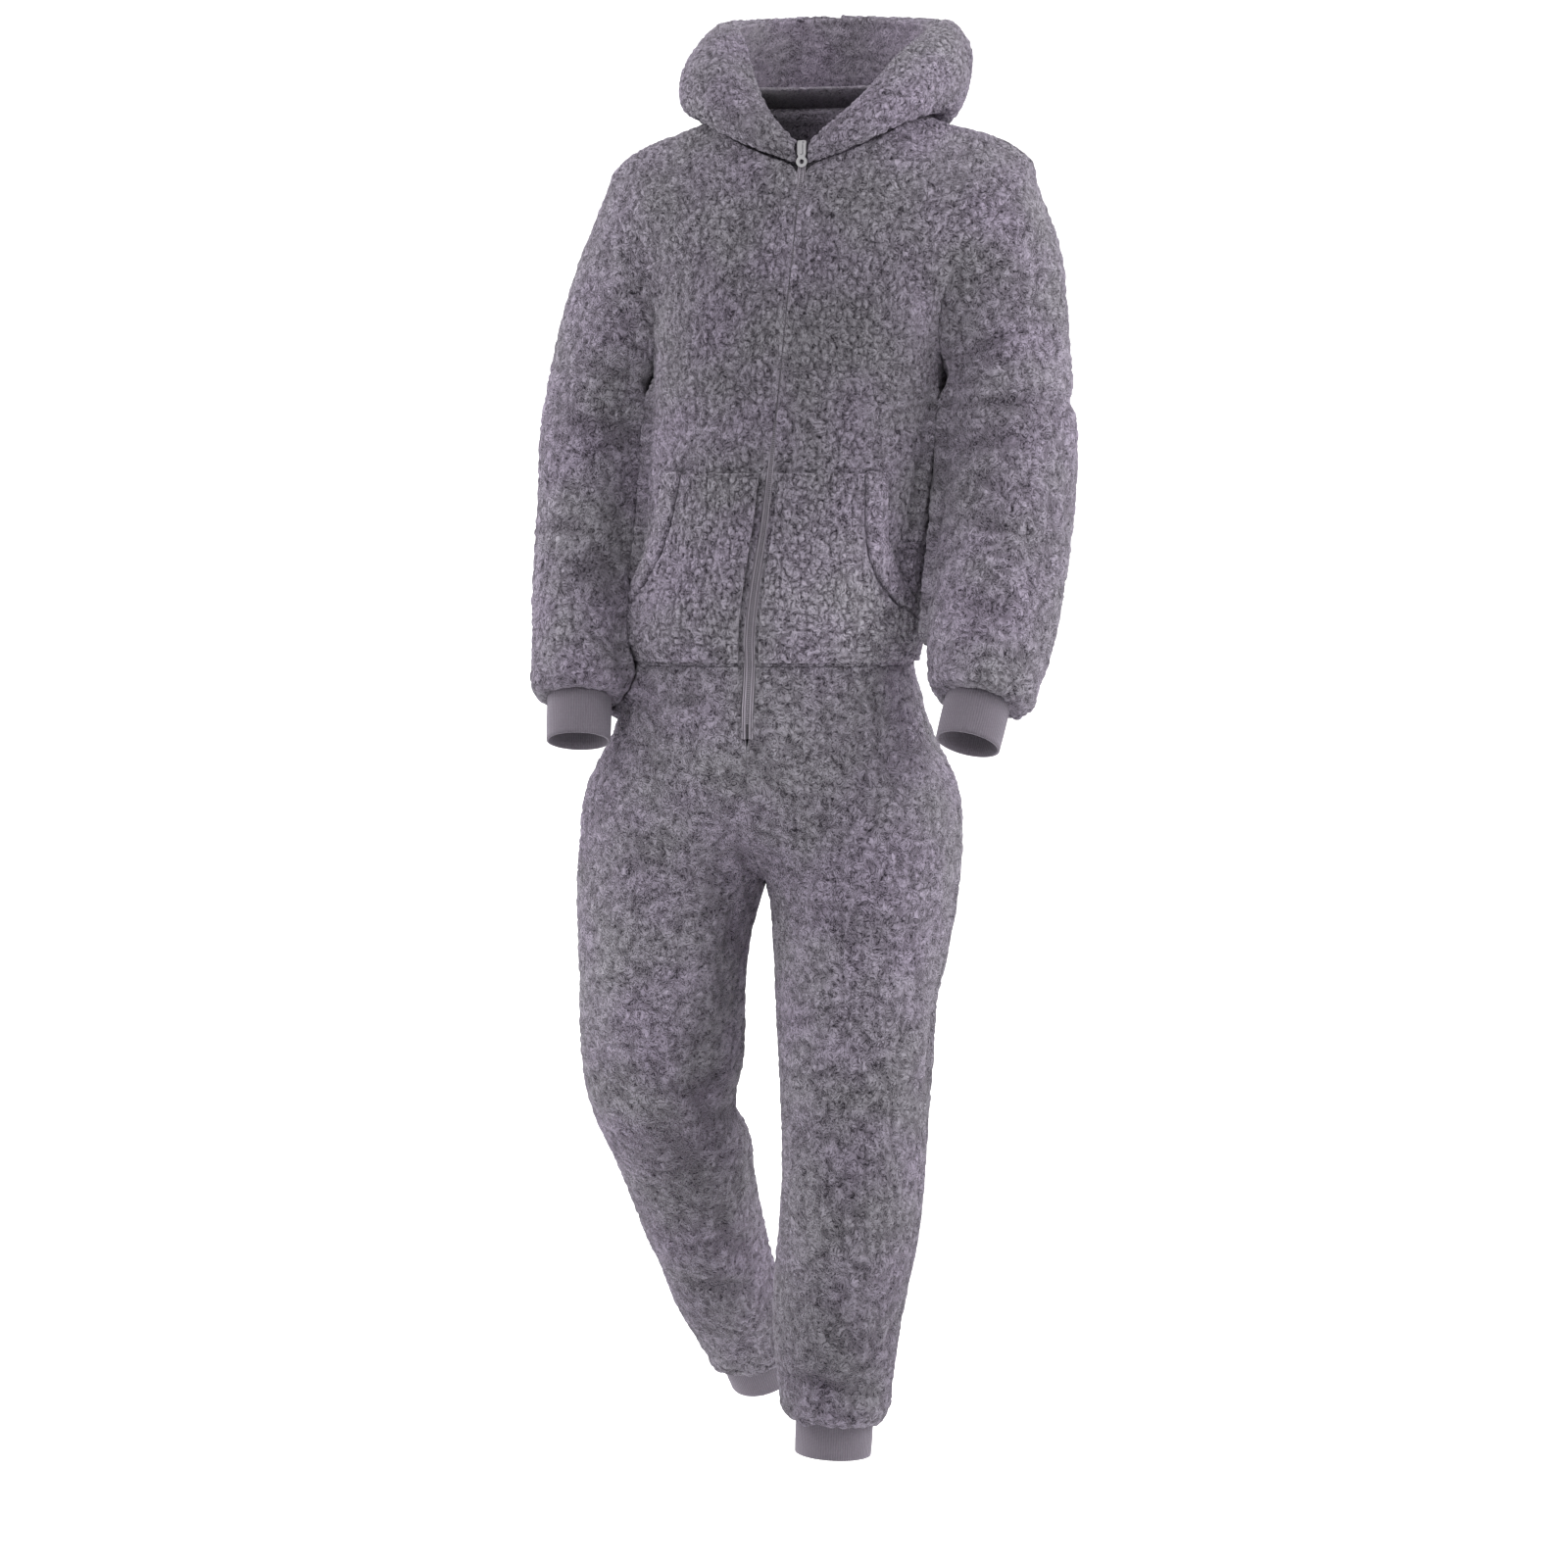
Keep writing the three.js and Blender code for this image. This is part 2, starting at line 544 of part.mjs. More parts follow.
// The edge of the cloth beside the zip
function zipEdge(side, z) {
  return leave(waistForm, add(bodyCentre(z), [side * zipHalf(z), 0, 0]), [0, -1, 0]);
}
const bodyHeights = range(BODY_ROWS + 1).map((r) => lerp(WAIST_Z, UNDERARM_Z, r / BODY_ROWS));
const sideSeam = (side) => bodyHeights.map((z) => onJacket(side, 90, z));
const armholeEdge = (side, half) => ARMHOLE.map((row) => onJacket(side, row[half], row.z));
const neckline = (side) =>
  NECKLINE.map((row, i) => (i === 0 ? zipEdge(side, row.z) : onJacket(side, row.angle, row.z)));
// Shoulder seam from the tip to the neck, its points evenly apart
function shoulderSeam(side) {
  const fine = range(33).map((i) => onJacket(side, 90, lerp(SHOULDER_TIP_Z, NECK_SIDE_Z, i / 32)));
  return range(FRONT_COLUMNS + 1).map((c) => alongLine(fine, c / FRONT_COLUMNS));
}

// Half of the jacket part, in front or behind: from the middle and the neckline to the side seam
// and the armhole. Its last row is the shoulder seam.
function jacketHalf(side, half) {
  const neckRows = half === "front" ? NECK_ROWS : NECKLINE.length - 1 - NECK_ROWS;
  const middleRows = TOP_ROWS - neckRows;
  const neck = neckline(side);
  const rest = half === "front" ? neck.slice(1, NECK_ROWS + 1) : neck.slice(NECK_ROWS, -1).reverse();
  const top = half === "front" ? NECK_FRONT_Z : NECK_BACK_Z;
  const middle = range(middleRows + 1).map((r) => {
    const z = lerp(WAIST_Z, top, r / middleRows);
    return half === "front" ? zipEdge(side, z) : onJacket(1, 180, z);
  });
  const innerEdge = [...middle, ...rest];
  const outerEdge = [...sideSeam(side), ...armholeEdge(side, half).slice(1)];
  const shoulder = shoulderSeam(side).reverse();
  const turn = (p) => {
    const angle = angleOf(p, bodyCentre(p[2]));
    return half === "back" && side * angle < 0 ? angle + side * 2 * Math.PI : angle;
  };
  return range(TOP_ROWS + 1).map((r) => {
    const [inner, outer] = [innerEdge[r], outerEdge[r]];
    const upper = smooth((r - TOP_ROWS + 5) / 5) ** 2 * 0.35;
    return range(FRONT_COLUMNS + 1).map((c) => {
      const share = c / FRONT_COLUMNS;
      if (c === 0) return clothPoint(jacketForm, inner);
      if (c === FRONT_COLUMNS) return clothPoint(jacketForm, outer);
      if (r === TOP_ROWS) return clothPoint(jacketForm, shoulder[c]);
      // Rows run level out to the underarm, so that they keep their order round the armhole
      const level = 1 + 1.6 * Math.exp(-(((r - BODY_ROWS) / 2.1) ** 2));
      const z = outer[2] + (inner[2] - outer[2]) * (1 - share) ** level;
      const angle = lerp(lerp(turn(inner), turn(outer), share), turn(shoulder[c]), upper);
      return clothPoint(jacketForm, leave(jacketForm, bodyCentre(z), levelWay(angle)));
    });
  });
}

const mirrored = (grid) => grid.map((row) => [...row].reverse());
piece("front_left", wall([jacketHalf(1, "front")], FLEECE), fleece);
piece("front_right", wall([jacketHalf(-1, "front")], FLEECE), fleece);
piece("back", wall([mirrored(jacketHalf(1, "back")), jacketHalf(-1, "back")], FLEECE), fleece);

// Directions of a ring across a limb: 0 degrees in front, 90 degrees at the outer side
function ringWay(ahead, side, angle) {
  const outer = unit(cross(scale([0, -1, 0], side), ahead));
  const frontward = unit(cross(ahead, scale(outer, side)));
  return add(scale(frontward, Math.cos(angle)), scale(outer, Math.sin(angle)));
}

// The last rings of a limb: the fleece rolls over the cuff. Radius and place along the limb,
// from the last full ring to the seam with the cuff
function rolledEnd(ring, centre, ahead, radius, reach) {
  const profile = [
    { along: reach * 0.62, share: 0.16 },
    { along: reach, share: 0.52 },
    { along: reach * 0.86, share: 1 },
  ];
  return profile.map(({ along, share }) =>
    ring.map(({ at }) => {
      const arm = sub(at, centre);
      const flat = sub(arm, scale(ahead, dot(arm, ahead)));
      const out = lerp(length(flat), radius, share);
      return add(add(centre, scale(ahead, along)), scale(unit(flat), out));
    }),
  );
}

// A knit tube from a ring of seam points, straight on along the limb
function cuffGrid(seam, centre, ahead, radius, longness) {
  return range(4).map((r) =>
    seam.map((at, c) => {
      const arm = sub(at, centre);
      const flat = sub(arm, scale(ahead, dot(arm, ahead)));
      const out = unit(flat);
      const start = add(add(centre, scale(ahead, dot(arm, ahead))), scale(out, radius));
      return { at: add(start, scale(ahead, (longness * r) / 3)), out };
    }),
  );
}

// Normals for a tube of rings, pointing away from its axis
function tubeNormals(rings, sign) {
  const columns = rings[0].length;
  return rings.map((ring, r) =>
    ring.map((at, c) => {
      const down = sub(rings[Math.min(rings.length - 1, r + 1)][c], rings[Math.max(0, r - 1)][c]);
      const across = sub(ring[(c + 1) % columns], ring[(c + columns - 1) % columns]);
      return { at, out: scale(unit(cross(across, down)), sign) };
    }),
  );
}

// Sleeves
const RING = 2 * ARMHOLE_ROWS;
function armholeRing(side) {
  const [ahead, behind] = [armholeEdge(side, "front"), armholeEdge(side, "back")];
  return [...ahead, ...behind.slice(1, -1).reverse()];
}
// Under the arm, moves a sleeve point out until it is clear of the jacket part
function keepOff(p, share) {
  const want = (SLEEVE_CLEARANCE + 0.7) * smooth(share * 3) * smooth((-130 - p[2]) / 40);
  const short = want - jacketForm(p);
  return short > 0 && want > 0 ? add(p, scale(unit(gradient(jacketForm, p)), short * 1.15)) : p;
}
for (const [name, side] of Object.entries(sides)) {
  const form = sleeveForm(name);
  const axis = armAxis[name];
  const last = ARM_LEFT.length - 1;
  const ringAt = (station) => {
    const { at, ahead } = axisAt(axis, station / last);
    return range(RING).map((j) => leave(form, at, ringWay(ahead, side, radians((j * 360) / RING - 90))));
  };
  const armhole = armholeRing(side);
  const firstRing = ringAt(SLEEVE_TOP_STATION);
  const fan = range(SLEEVE_CAP_ROWS).map((r) => {
    const share = r / SLEEVE_CAP_ROWS;
    return armhole.map((p, j) => {
      const between = mix(p, firstRing[j], share);
      return r === 0 ? p : keepOff(mix(between, settle(form, between), smooth(share * 2)), share);
    });
  });
  const end = SLEEVE_END_STATION[name];
  const rings = range(SLEEVE_ROWS + 1).map((r) => ringAt(lerp(SLEEVE_TOP_STATION, end, r / SLEEVE_ROWS)));
  const { at: centre, ahead } = axisAt(axis, end / last);
  const smoothed = [...fan, ...rings].map((ring) =>
    ring.map((p) => sub(p, scale(unit(gradient(form, p)), foldDepth(p)))),
  );
  const lastRing = smoothed[smoothed.length - 1].map((at) => ({ at }));
  const all = [...smoothed, ...rolledEnd(lastRing, centre, ahead, CUFF_RADIUS, 15)];
  const grid = tubeNormals(all, -side);
  // Round the top of the armhole the sleeve's edge shares the jacket's outward direction
  grid[0].forEach((point, j) => {
    const shared = unit(gradient(jacketForm, point.at));
    const top = smooth(Math.min(j, RING - j) / 4);
    point.out = unit(mix(point.out, shared, top));
  });
  for (const row of grid.slice(-3)) for (const point of row) point.thick = 4.5;
  for (const point of grid[grid.length - 1]) point.dip = 0;
  piece(`sleeve_${name}`, wall([grid], FLEECE, { closed: true }), fleece);
  const cuff = cuffGrid(all[all.length - 1], centre, ahead, CUFF_RADIUS, CUFF_LENGTH);
  for (const point of cuff[0]) point.dip = 0;
  piece(`cuff_${name}`, wall([cuff], KNIT, { closed: true, dip: 0.6 }), ribKnit);
}

// Trousers. Each half keeps to its own side of the middle.
const halfForm = (side) => (p) => Math.max(trouserForm(p), -side * (p[0] - torsoAt.x(p[2])));
const trouserHeights = range(HIP_ROWS + 1).map((r) => lerp(WAIST_Z, LEG_TOP_Z, r / HIP_ROWS));
const LEVEL_ROWS = [WAIST_Z, -575, -598, ZIP_BOTTOM_Z, ZIP_BOTTOM_Z - 8, -658, HIP_LEVEL_Z];

// The middle seam, from the waist under to the crotch; face is -1 in front and 1 behind
function middleSeam(face) {
  const levels = LEVEL_ROWS.length - 1;
  return range(HIP_ROWS + 1).map((r) => {
    const z = LEVEL_ROWS[Math.min(r, levels)];
    const angle = radians((90 * Math.max(0, r - levels)) / (HIP_ROWS - levels));
    const way = [0, face * Math.cos(angle), -Math.sin(angle)];
    return leave(trouserForm, add(bodyCentre(z), [-4.6 * Math.sin(angle), 0, 0]), way);
  });
}
const frontMiddle = middleSeam(-1);
const backMiddle = middleSeam(1);

const LEG_HALF_TURN = 180;
function legRings(name, side) {
  const axis = legAxis[name];
  const last = (name === "left" ? LEG_LEFT : LEG_RIGHT).length - 1;
  const end = LEG_END_STATION[name];
  const form = (p) => Math.max(legForm[name](p), 0.8 - side * (p[0] - torsoAt.x(p[2])));
  const clear = (p) => (p[2] > -1000 ? form(p) : legForm[name](p));
  return range(LEG_ROWS).map((r) => {
    const station = lerp(LEG_TOP_STATION, end, (r + 1) / LEG_ROWS);
    const { at, ahead } = axisAt(axis, station / last);
    const point = (degrees) => {
      const p = leave(clear, at, ringWay(ahead, side, radians(degrees)));
      return sub(p, scale(unit(gradient(clear, p)), foldDepth(p)));
    };
    return {
      at,
      ahead,
      front: range(LEG_COLUMNS + 1).map((c) => point(-90 + (LEG_HALF_TURN * c) / LEG_COLUMNS)),
      back: range(LEG_COLUMNS + 1).map((c) => point(270 - (LEG_HALF_TURN * c) / LEG_COLUMNS)),
    };
  });
}

function hipRows(name, side, half) {
  const middle = half === "front" ? frontMiddle : backMiddle;
  const axis = legAxis[name];
  const last = (name === "left" ? LEG_LEFT : LEG_RIGHT).length - 1;
  const legCentre = axisAt(axis, LEG_TOP_STATION / last).at;
  const form = halfForm(side);
  const turn = (a) => (half === "back" && side * a < -0.9 ? a + side * 2 * Math.PI : a);
  return range(HIP_ROWS + 1).map((r) => {
    const share = r / HIP_ROWS;
    const z = trouserHeights[r];
    const sideCentre = mix(bodyCentre(z), [legCentre[0], legCentre[1], z], smooth(share));
    const outer = leave(trouserForm, sideCentre, levelWay(side * radians(90)));
    const open = middle[r][2] > ZIP_BOTTOM_Z - 1 && half === "front";
    const inner = open ? zipEdge(side, middle[r][2]) : middle[r];
    const level = [sideCentre[0], sideCentre[1]];
    const start = turn(angleOf(inner, level));
    const end = turn(angleOf(outer, level));
    return range(LEG_COLUMNS + 1).map((c) => {
      if (c === 0) return inner;
      if (c === LEG_COLUMNS) return outer;
      const across = c / LEG_COLUMNS;
      const height = lerp(inner[2], outer[2], smooth(across) * 0.5 + across * 0.5);
      const p = leave(form, [...level, height], levelWay(lerp(start, end, across)));
      return sub(p, scale(unit(gradient(form, p)), foldDepth(p)));
    });
  });
}

for (const [name, side] of Object.entries(sides)) {
  const rings = legRings(name, side);
  const bottom = rings[rings.length - 1];
  const wholeRing = [...bottom.front, ...bottom.back.slice(1, -1).reverse()].map((at) => ({ at }));
  const roll = rolledEnd(wholeRing, bottom.at, bottom.ahead, ANKLE_RADIUS, 17);
  const inFront = roll.map((ring) => ring.slice(0, LEG_COLUMNS + 1));
  const behind = roll.map((ring) => [ring[0], ...ring.slice(LEG_COLUMNS).reverse()]);
  const rows = {
    front: [...hipRows(name, side, "front"), ...rings.map((ring) => ring.front), ...inFront],
    back: [...hipRows(name, side, "back"), ...rings.map((ring) => ring.back), ...behind],
  };
  // Both halves make one tube below the crotch, so they share outward directions along their seams
  const grids = { front: gridNormals(rows.front, -side), back: gridNormals(rows.back, side) };
  for (const c of [0, LEG_COLUMNS])
    grids.front.forEach((row, r) => {
      const other = grids.back[r][c];
      const shared = unit(add(row[c].out, other.out));
      if (c === 0 && r <= HIP_ROWS) return;
      row[c].out = shared;
      other.out = shared;
    });
  for (const half of ["front", "back"]) {
    for (const row of grids[half].slice(0, HIP_ROWS + 1)) row[0].out = unit(gradient(trouserForm, row[0].at));
    for (const row of grids[half].slice(HIP_ROWS - 1, HIP_ROWS + 3)) row[0].trim = 0.4;
    for (const point of grids[half][0]) point.out = unit(gradient(jacketForm, point.at));
    for (const row of grids[half].slice(-3)) for (const point of row) point.thick = 4.5;
    for (const point of grids[half][grids[half].length - 1]) point.dip = 0;
    piece(`leg_${half}_${name}`, wall([grids[half]], FLEECE), fleece);
  }
  const cuff = cuffGrid(roll[roll.length - 1], bottom.at, bottom.ahead, ANKLE_RADIUS, ANKLE_LENGTH);
  for (const point of cuff[0]) point.dip = 0;
  piece(`ankle_cuff_${name}`, wall([cuff], KNIT, { closed: true, dip: 0.6 }), ribKnit);
}

// Hood: shell and lining follow one another over the rim, so they start as one grid
function hoodColumn(side, i) {
  const { angle, z: _z, ...row } = { ...NECKLINE[i], ...HOOD[i] };
  const wide = Math.sin(radians(angle)) ** 2 * (side < 0 ? 1 : 0);
  const shift = { under: [0, 0], widest: [-1, 0], high: [-0.7, 0.3], rim: [-1, 1], edge: [-1, 1], side: [-0.7, 0.5], floor: [0, 0], foot: [0, 0] };
  const point = (name) => {
    const [reach, z] = row[name];
    const inward = name === "widest" ? RIGHT_RIM.widestAt : RIGHT_RIM.inward;
    const r = reach + shift[name][0] * inward * wide;
    const turn = side * radians(angle);
    return new THREE.Vector3(
      HOOD_AXIS.x + r * Math.sin(turn),
      HOOD_AXIS.y - r * Math.cos(turn),
      z + shift[name][1] * RIGHT_RIM.up * wide,
    );
  };
  const along = (points, rows) => {
    const curve = new THREE.CatmullRomCurve3(points, false, "centripetal");
    return range(rows + 1).map((k) => curve.getPointAt(k / rows).toArray());
  };
  const start = new THREE.Vector3(...neckline(side)[i]);
  const shell = along([start, ...["under", "widest", "high", "rim", "edge"].map(point)], HOOD_ROWS);
  const lining = along(["edge", "side", "floor", "foot"].map(point), LINING_ROWS);
  return [...shell, ...lining.slice(1)];
}
const hoodColumns = [
  ...NECKLINE.map((_, i) => hoodColumn(1, i)),
  ...NECKLINE.map((_, i) => hoodColumn(-1, i)).slice(0, -1).reverse(),
];
const hoodPoints = hoodColumns[0].map((_, r) => hoodColumns.map((points) => points[r]));
const hoodGrid = gridNormals(hoodPoints, 1);
const middleBack = NECKLINE.length - 1;
const shell = hoodGrid.slice(0, HOOD_ROWS + 1);
// Both layers thin out towards the edge, where the cloth turns over
for (const point of hoodGrid[HOOD_ROWS]) Object.assign(point, { dip: 0.5, thick: 2.2 });
for (const point of hoodGrid[HOOD_ROWS - 1]) point.thick = 3.4;
for (const point of hoodGrid[HOOD_ROWS - 2]) point.thick = 5.2;
for (const point of hoodGrid[HOOD_ROWS + 1]) point.thick = 2.2;
piece("hood_left", wall([shell.map((row) => row.slice(0, middleBack + 1))], FLEECE), fleece);
piece("hood_right", wall([shell.map((row) => row.slice(middleBack))], FLEECE), fleece);
piece("hood_lining", wall([hoodGrid.slice(HOOD_ROWS)], LINING, { dip: 0.5 }), hoodLining);

// Pockets lie on the fronts, with a band along each curved opening
const POCKET_GAP = 1.75;
const POCKET_THICK = 6;
const BAND_THICK = 8;
const POCKET_COLUMNS = 7;
const laidPoint = (side, degrees, z, lift) => {
  const on = clothPoint(jacketForm, onJacket(side, degrees, z));
  return { at: add(on.at, scale(on.out, lift)), out: on.out };
};
const pocketHeights = [WAIST_Z + 5, -537, -524, ...POCKET.map((row) => row.z)];
const edgeAngle = (name) => (z) => (z < POCKET[0].z ? 88.5 : column(POCKET, "z", name)(z));
for (const [name, side] of Object.entries(sides)) {
  const inside = edgeAngle("inner");
  const zipSide = (z) => {
    const edge = add(zipEdge(side, z), [side * 4, 0, 0]);
    return (side * angleOf(edge, bodyCentre(z)) * 180) / Math.PI;
  };
  const patch = pocketHeights.map((z) =>
    range(POCKET_COLUMNS + 1).map((c) =>
      laidPoint(side, lerp(zipSide(z), inside(z), c / POCKET_COLUMNS), z, POCKET_GAP + POCKET_THICK),
    ),
  );
  for (const point of patch[0]) point.dip = 0.8;
  piece(`pocket_${name}`, wall([patch], POCKET_THICK), fleece);
  const band = POCKET.map((row) =>
    range(3).map((c) => {
      const point = laidPoint(side, lerp(row.inner, row.outer, c / 2), row.z, POCKET_GAP + POCKET_THICK);
      return c === 1 ? { ...point, at: add(point.at, scale(point.out, BAND_THICK - POCKET_THICK)), thick: BAND_THICK } : point;
    }),
  );
  piece(`pocket_band_${name}`, wall([band], POCKET_THICK), fleece);
}

// Zip tapes, sunk between the edges of the fleece. Above the neckline seam they run straight on.
const TAPE_DEPTH = 3.4;
const TAPE_ROWS = 26;
const ZIP_TOP_Z = 6;
function tapePoint(side, reach, z) {
  const low = Math.min(z, NECK_FRONT_Z);
  const p = leave(waistForm, add(bodyCentre(low), [side * reach, 0, 0]), [0, -1, 0]);
  const out = unit([0, ...unit(gradient(waistForm, p)).slice(1)]);
  return { at: add(sub(p, scale(out, TAPE_DEPTH)), [0, 0, z - low]), out };
}
for (const [name, side] of Object.entries(sides)) {
  const rows = range(TAPE_ROWS + 2).map((r) => {
    const z = r > TAPE_ROWS ? ZIP_TOP_Z : lerp(ZIP_BOTTOM_Z + 1.5, NECK_FRONT_Z, r / TAPE_ROWS);
    const besideHood = 1.6 * smooth((z + 26) / 8);
    return [0.25, zipHalf(Math.min(z, NECK_FRONT_Z)) - 0.45 - besideHood].map((reach) => tapePoint(side, reach, z));
  });
  piece(`zip_tape_${name}`, wall([rows], TAPE, { dip: 0, trim: 0 }), zipTape);
}

// Slider: a plate with an arch on it that carries the tab
const SLIDER = { x: torsoAt.x(0), top: 11, bottom: -8, thick: 4 };
const plateBack = tapePoint(1, 0.25, NECK_FRONT_Z).at[1] - 0.35;
const plateFace = plateBack - SLIDER.thick;
const ARCH_HALF = 1;
const TAB_THICK = 1.5;
const TAB_GAP = 0.4;
const PIVOT_Z = 7.4;
function slider() {
  const plan = [
    { z: SLIDER.bottom, half: 2.6 },
    { z: -5.4, half: 3.9 },
    { z: -3.6, half: 4.3 },
    { z: -2, half: 4.5 },
    { z: 9, half: 4.9 },
    { z: 10.2, half: 4.5 },
    { z: SLIDER.top, half: 3.7 },
  ];
  const points = [];
  const layer = (y) =>
    plan.map(({ z, half }) =>
      [-half, -ARCH_HALF, ARCH_HALF, half].map((x) => points.push([SLIDER.x + x, y, z]) - 1),
    );
  const [face, back] = [layer(plateFace), layer(plateBack)];
  const faces = [];
  const quad = (a, b, c, d) => faces.push([a, b, c], [a, c, d]);
  const feet = [4, 2];
  for (const r of range(plan.length - 1))
    for (const c of range(3)) {
      const foot = c === 1 && feet.includes(r);
      if (!foot) quad(face[r][c], face[r][c + 1], face[r + 1][c + 1], face[r + 1][c]);
      quad(back[r][c], back[r + 1][c], back[r + 1][c + 1], back[r][c + 1]);
    }
  const last = plan.length - 1;
  const around = (layerRows) => [
    ...layerRows[0],
    ...layerRows.slice(1, last).map((row) => row[3]),
    ...[...layerRows[last]].reverse(),
    ...layerRows.slice(1, last).map((row) => row[0]).reverse(),
  ];
  const [outline, under] = [around(face), around(back)];
  outline.forEach((v, i) => {
    const next = (i + 1) % outline.length;
    quad(v, under[i], under[next], outline[next]);
  });
  // Arch over the plate: heights of its outer and inner faces from the top foot to the lower foot
  const arch = [
    { outer: [10, -3], inner: [8.9, -2.3] },
    { outer: [9, -3.9], inner: [8.4, -2.6] },
    { outer: [-2.4, -3.9], inner: [-1.4, -2.6] },
    { outer: [-3.4, -3], inner: [-2, -2.3] },
  ].map(({ outer, inner }) =>
    [[-1, outer], [1, outer], [1, inner], [-1, inner]].map(
      ([way, [z, rise]]) => points.push([SLIDER.x + way * ARCH_HALF, plateFace + rise, z]) - 1,
    ),
  );
  const topFoot = [face[5][1], face[5][2], face[4][2], face[4][1]];
  const lowFoot = [face[2][1], face[2][2], face[3][2], face[3][1]];
  const hoops = [topFoot, ...arch, lowFoot];
  for (const k of range(hoops.length - 1))
    for (const j of range(4)) {
      const n = (j + 1) % 4;
      quad(hoops[k][j], hoops[k + 1][j], hoops[k + 1][n], hoops[k][n]);
    }
  return solidOf(points, faces);
}
piece("zip_slider", slider(), nickel);

// Pull tab: hangs from the arch by the bar above its slot, with a ring at its lower end
function pullTab() {
  const [half, slotHalf, ringRadius, holeRadius] = [4.7, 1.45, 6, 2.6];
  const [top, slotTop, slotBottom, ringZ] = [PIVOT_Z + 0.8, PIVOT_Z - 0.8, -4.6, -11.8];
  const outline = new THREE.Shape();
  outline.moveTo(-half + 1.2, top);
  outline.lineTo(-half, top - 1.2);
  outline.lineTo(-half, -3.4);
  outline.lineTo(-3.5, -6.9);
  const steps = 18;
  for (const k of range(steps + 1)) {
    const angle = radians(lerp(126, 414, k / steps));
    outline.lineTo(ringRadius * Math.cos(angle), ringZ + ringRadius * Math.sin(angle));
  }
  outline.lineTo(3.5, -6.9);
  outline.lineTo(half, -3.4);
  outline.lineTo(half, top - 1.2);
  outline.lineTo(half - 1.2, top);
  outline.closePath();
  const slot = new THREE.Path();
  slot.moveTo(-slotHalf, slotTop);
  slot.lineTo(slotHalf, slotTop);
  slot.lineTo(slotHalf, slotBottom + 0.6);
  slot.lineTo(slotHalf - 0.6, slotBottom);
  slot.lineTo(-slotHalf + 0.6, slotBottom);
  slot.lineTo(-slotHalf, slotBottom + 0.6);
  slot.closePath();
  const hole = new THREE.Path();
  for (const k of range(14)) {
    const angle = (-2 * Math.PI * k) / 14;
    const [x, y] = [holeRadius * Math.cos(angle), ringZ + holeRadius * Math.sin(angle)];
    if (k === 0) hole.moveTo(x, y);
    else hole.lineTo(x, y);
  }
  hole.closePath();
  outline.holes.push(slot, hole);
  const geometry = new THREE.ExtrudeGeometry(outline, { depth: TAB_THICK, bevelEnabled: false });
  geometry.rotateX(Math.PI / 2);
  geometry.translate(SLIDER.x, plateFace - TAB_GAP, 0);
  return geometry;
}
piece("zip_pull_tab", pullTab(), nickel);

export default onesie;
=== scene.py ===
"""Hooded fleece one-piece pajama: pile cloth, knit cuffs, zip, studio and camera."""

from __future__ import annotations

import logging
import math
from dataclasses import dataclass, field
from enum import Enum
from typing import Callable, ClassVar, Iterable, Sequence

import bmesh
import bpy
import numpy as np
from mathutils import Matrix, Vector
from mathutils.bvhtree import BVHTree
from mathutils.kdtree import KDTree

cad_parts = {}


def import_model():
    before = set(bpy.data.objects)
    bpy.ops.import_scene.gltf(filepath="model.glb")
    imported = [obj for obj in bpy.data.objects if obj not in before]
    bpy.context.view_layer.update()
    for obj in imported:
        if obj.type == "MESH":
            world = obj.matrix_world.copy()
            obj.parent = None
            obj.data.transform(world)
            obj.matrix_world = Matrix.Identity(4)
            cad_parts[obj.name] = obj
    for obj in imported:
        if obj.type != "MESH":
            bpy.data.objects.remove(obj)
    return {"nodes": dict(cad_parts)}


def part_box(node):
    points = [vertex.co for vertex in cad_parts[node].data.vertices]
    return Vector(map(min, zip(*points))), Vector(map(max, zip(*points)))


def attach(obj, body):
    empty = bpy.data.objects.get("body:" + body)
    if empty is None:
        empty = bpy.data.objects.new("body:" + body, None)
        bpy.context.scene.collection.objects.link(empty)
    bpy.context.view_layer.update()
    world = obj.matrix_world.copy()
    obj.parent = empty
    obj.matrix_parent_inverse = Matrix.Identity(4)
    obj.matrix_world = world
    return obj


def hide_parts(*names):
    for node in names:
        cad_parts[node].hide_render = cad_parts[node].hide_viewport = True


LOG = logging.getLogger("pajama")
MM = 0.001
GARMENT = "garment"

# One set of clumps for all pieces, so that the pile runs on over the seams
PILE_SALT = 311
# How much deeper the creases are pressed, and wider, than the table's sizes
CREASE_DEPTH = 1.6
CREASE_WIDTH = 1.25
# Height of the armpits, above which nothing swells, in millimetres
ARMPIT = -228.0

Point = tuple[float, float, float]
Colour = tuple[float, float, float, float]


def srgb(red: float, green: float, blue: float) -> Colour:
    """Give a linear colour from 8-bit values as a screen shows them.

    Args:
        red, green, blue: the three values, from 0 to 255.

    Returns:
        The colour, with a last value of 1.
    """
    parts = [value / 255.0 for value in (red, green, blue)]
    linear = [p / 12.92 if p <= 0.04045 else ((p + 0.055) / 1.055) ** 2.4 for p in parts]
    return (linear[0], linear[1], linear[2], 1.0)


def smooth(t: np.ndarray) -> np.ndarray:
    """Rise smoothly from 0 to 1 as t does."""
    t = np.clip(t, 0.0, 1.0)
    return t * t * (3.0 - 2.0 * t)


class Side(Enum):
    """The garment's own left and right, with the sign of x on each."""

    LEFT = 1
    RIGHT = -1

    @property
    def word(self) -> str:
        """Give the side's name as the nodes have it."""
        return self.name.lower()


@dataclass(frozen=True)
class Crease:
    """A soft trough in the cloth, or a ridge where its depth is negative.

    Points and sizes are in millimetres; each point lies on the cloth.
    """

    points: tuple[Point, ...]
    width: float
    depth: float


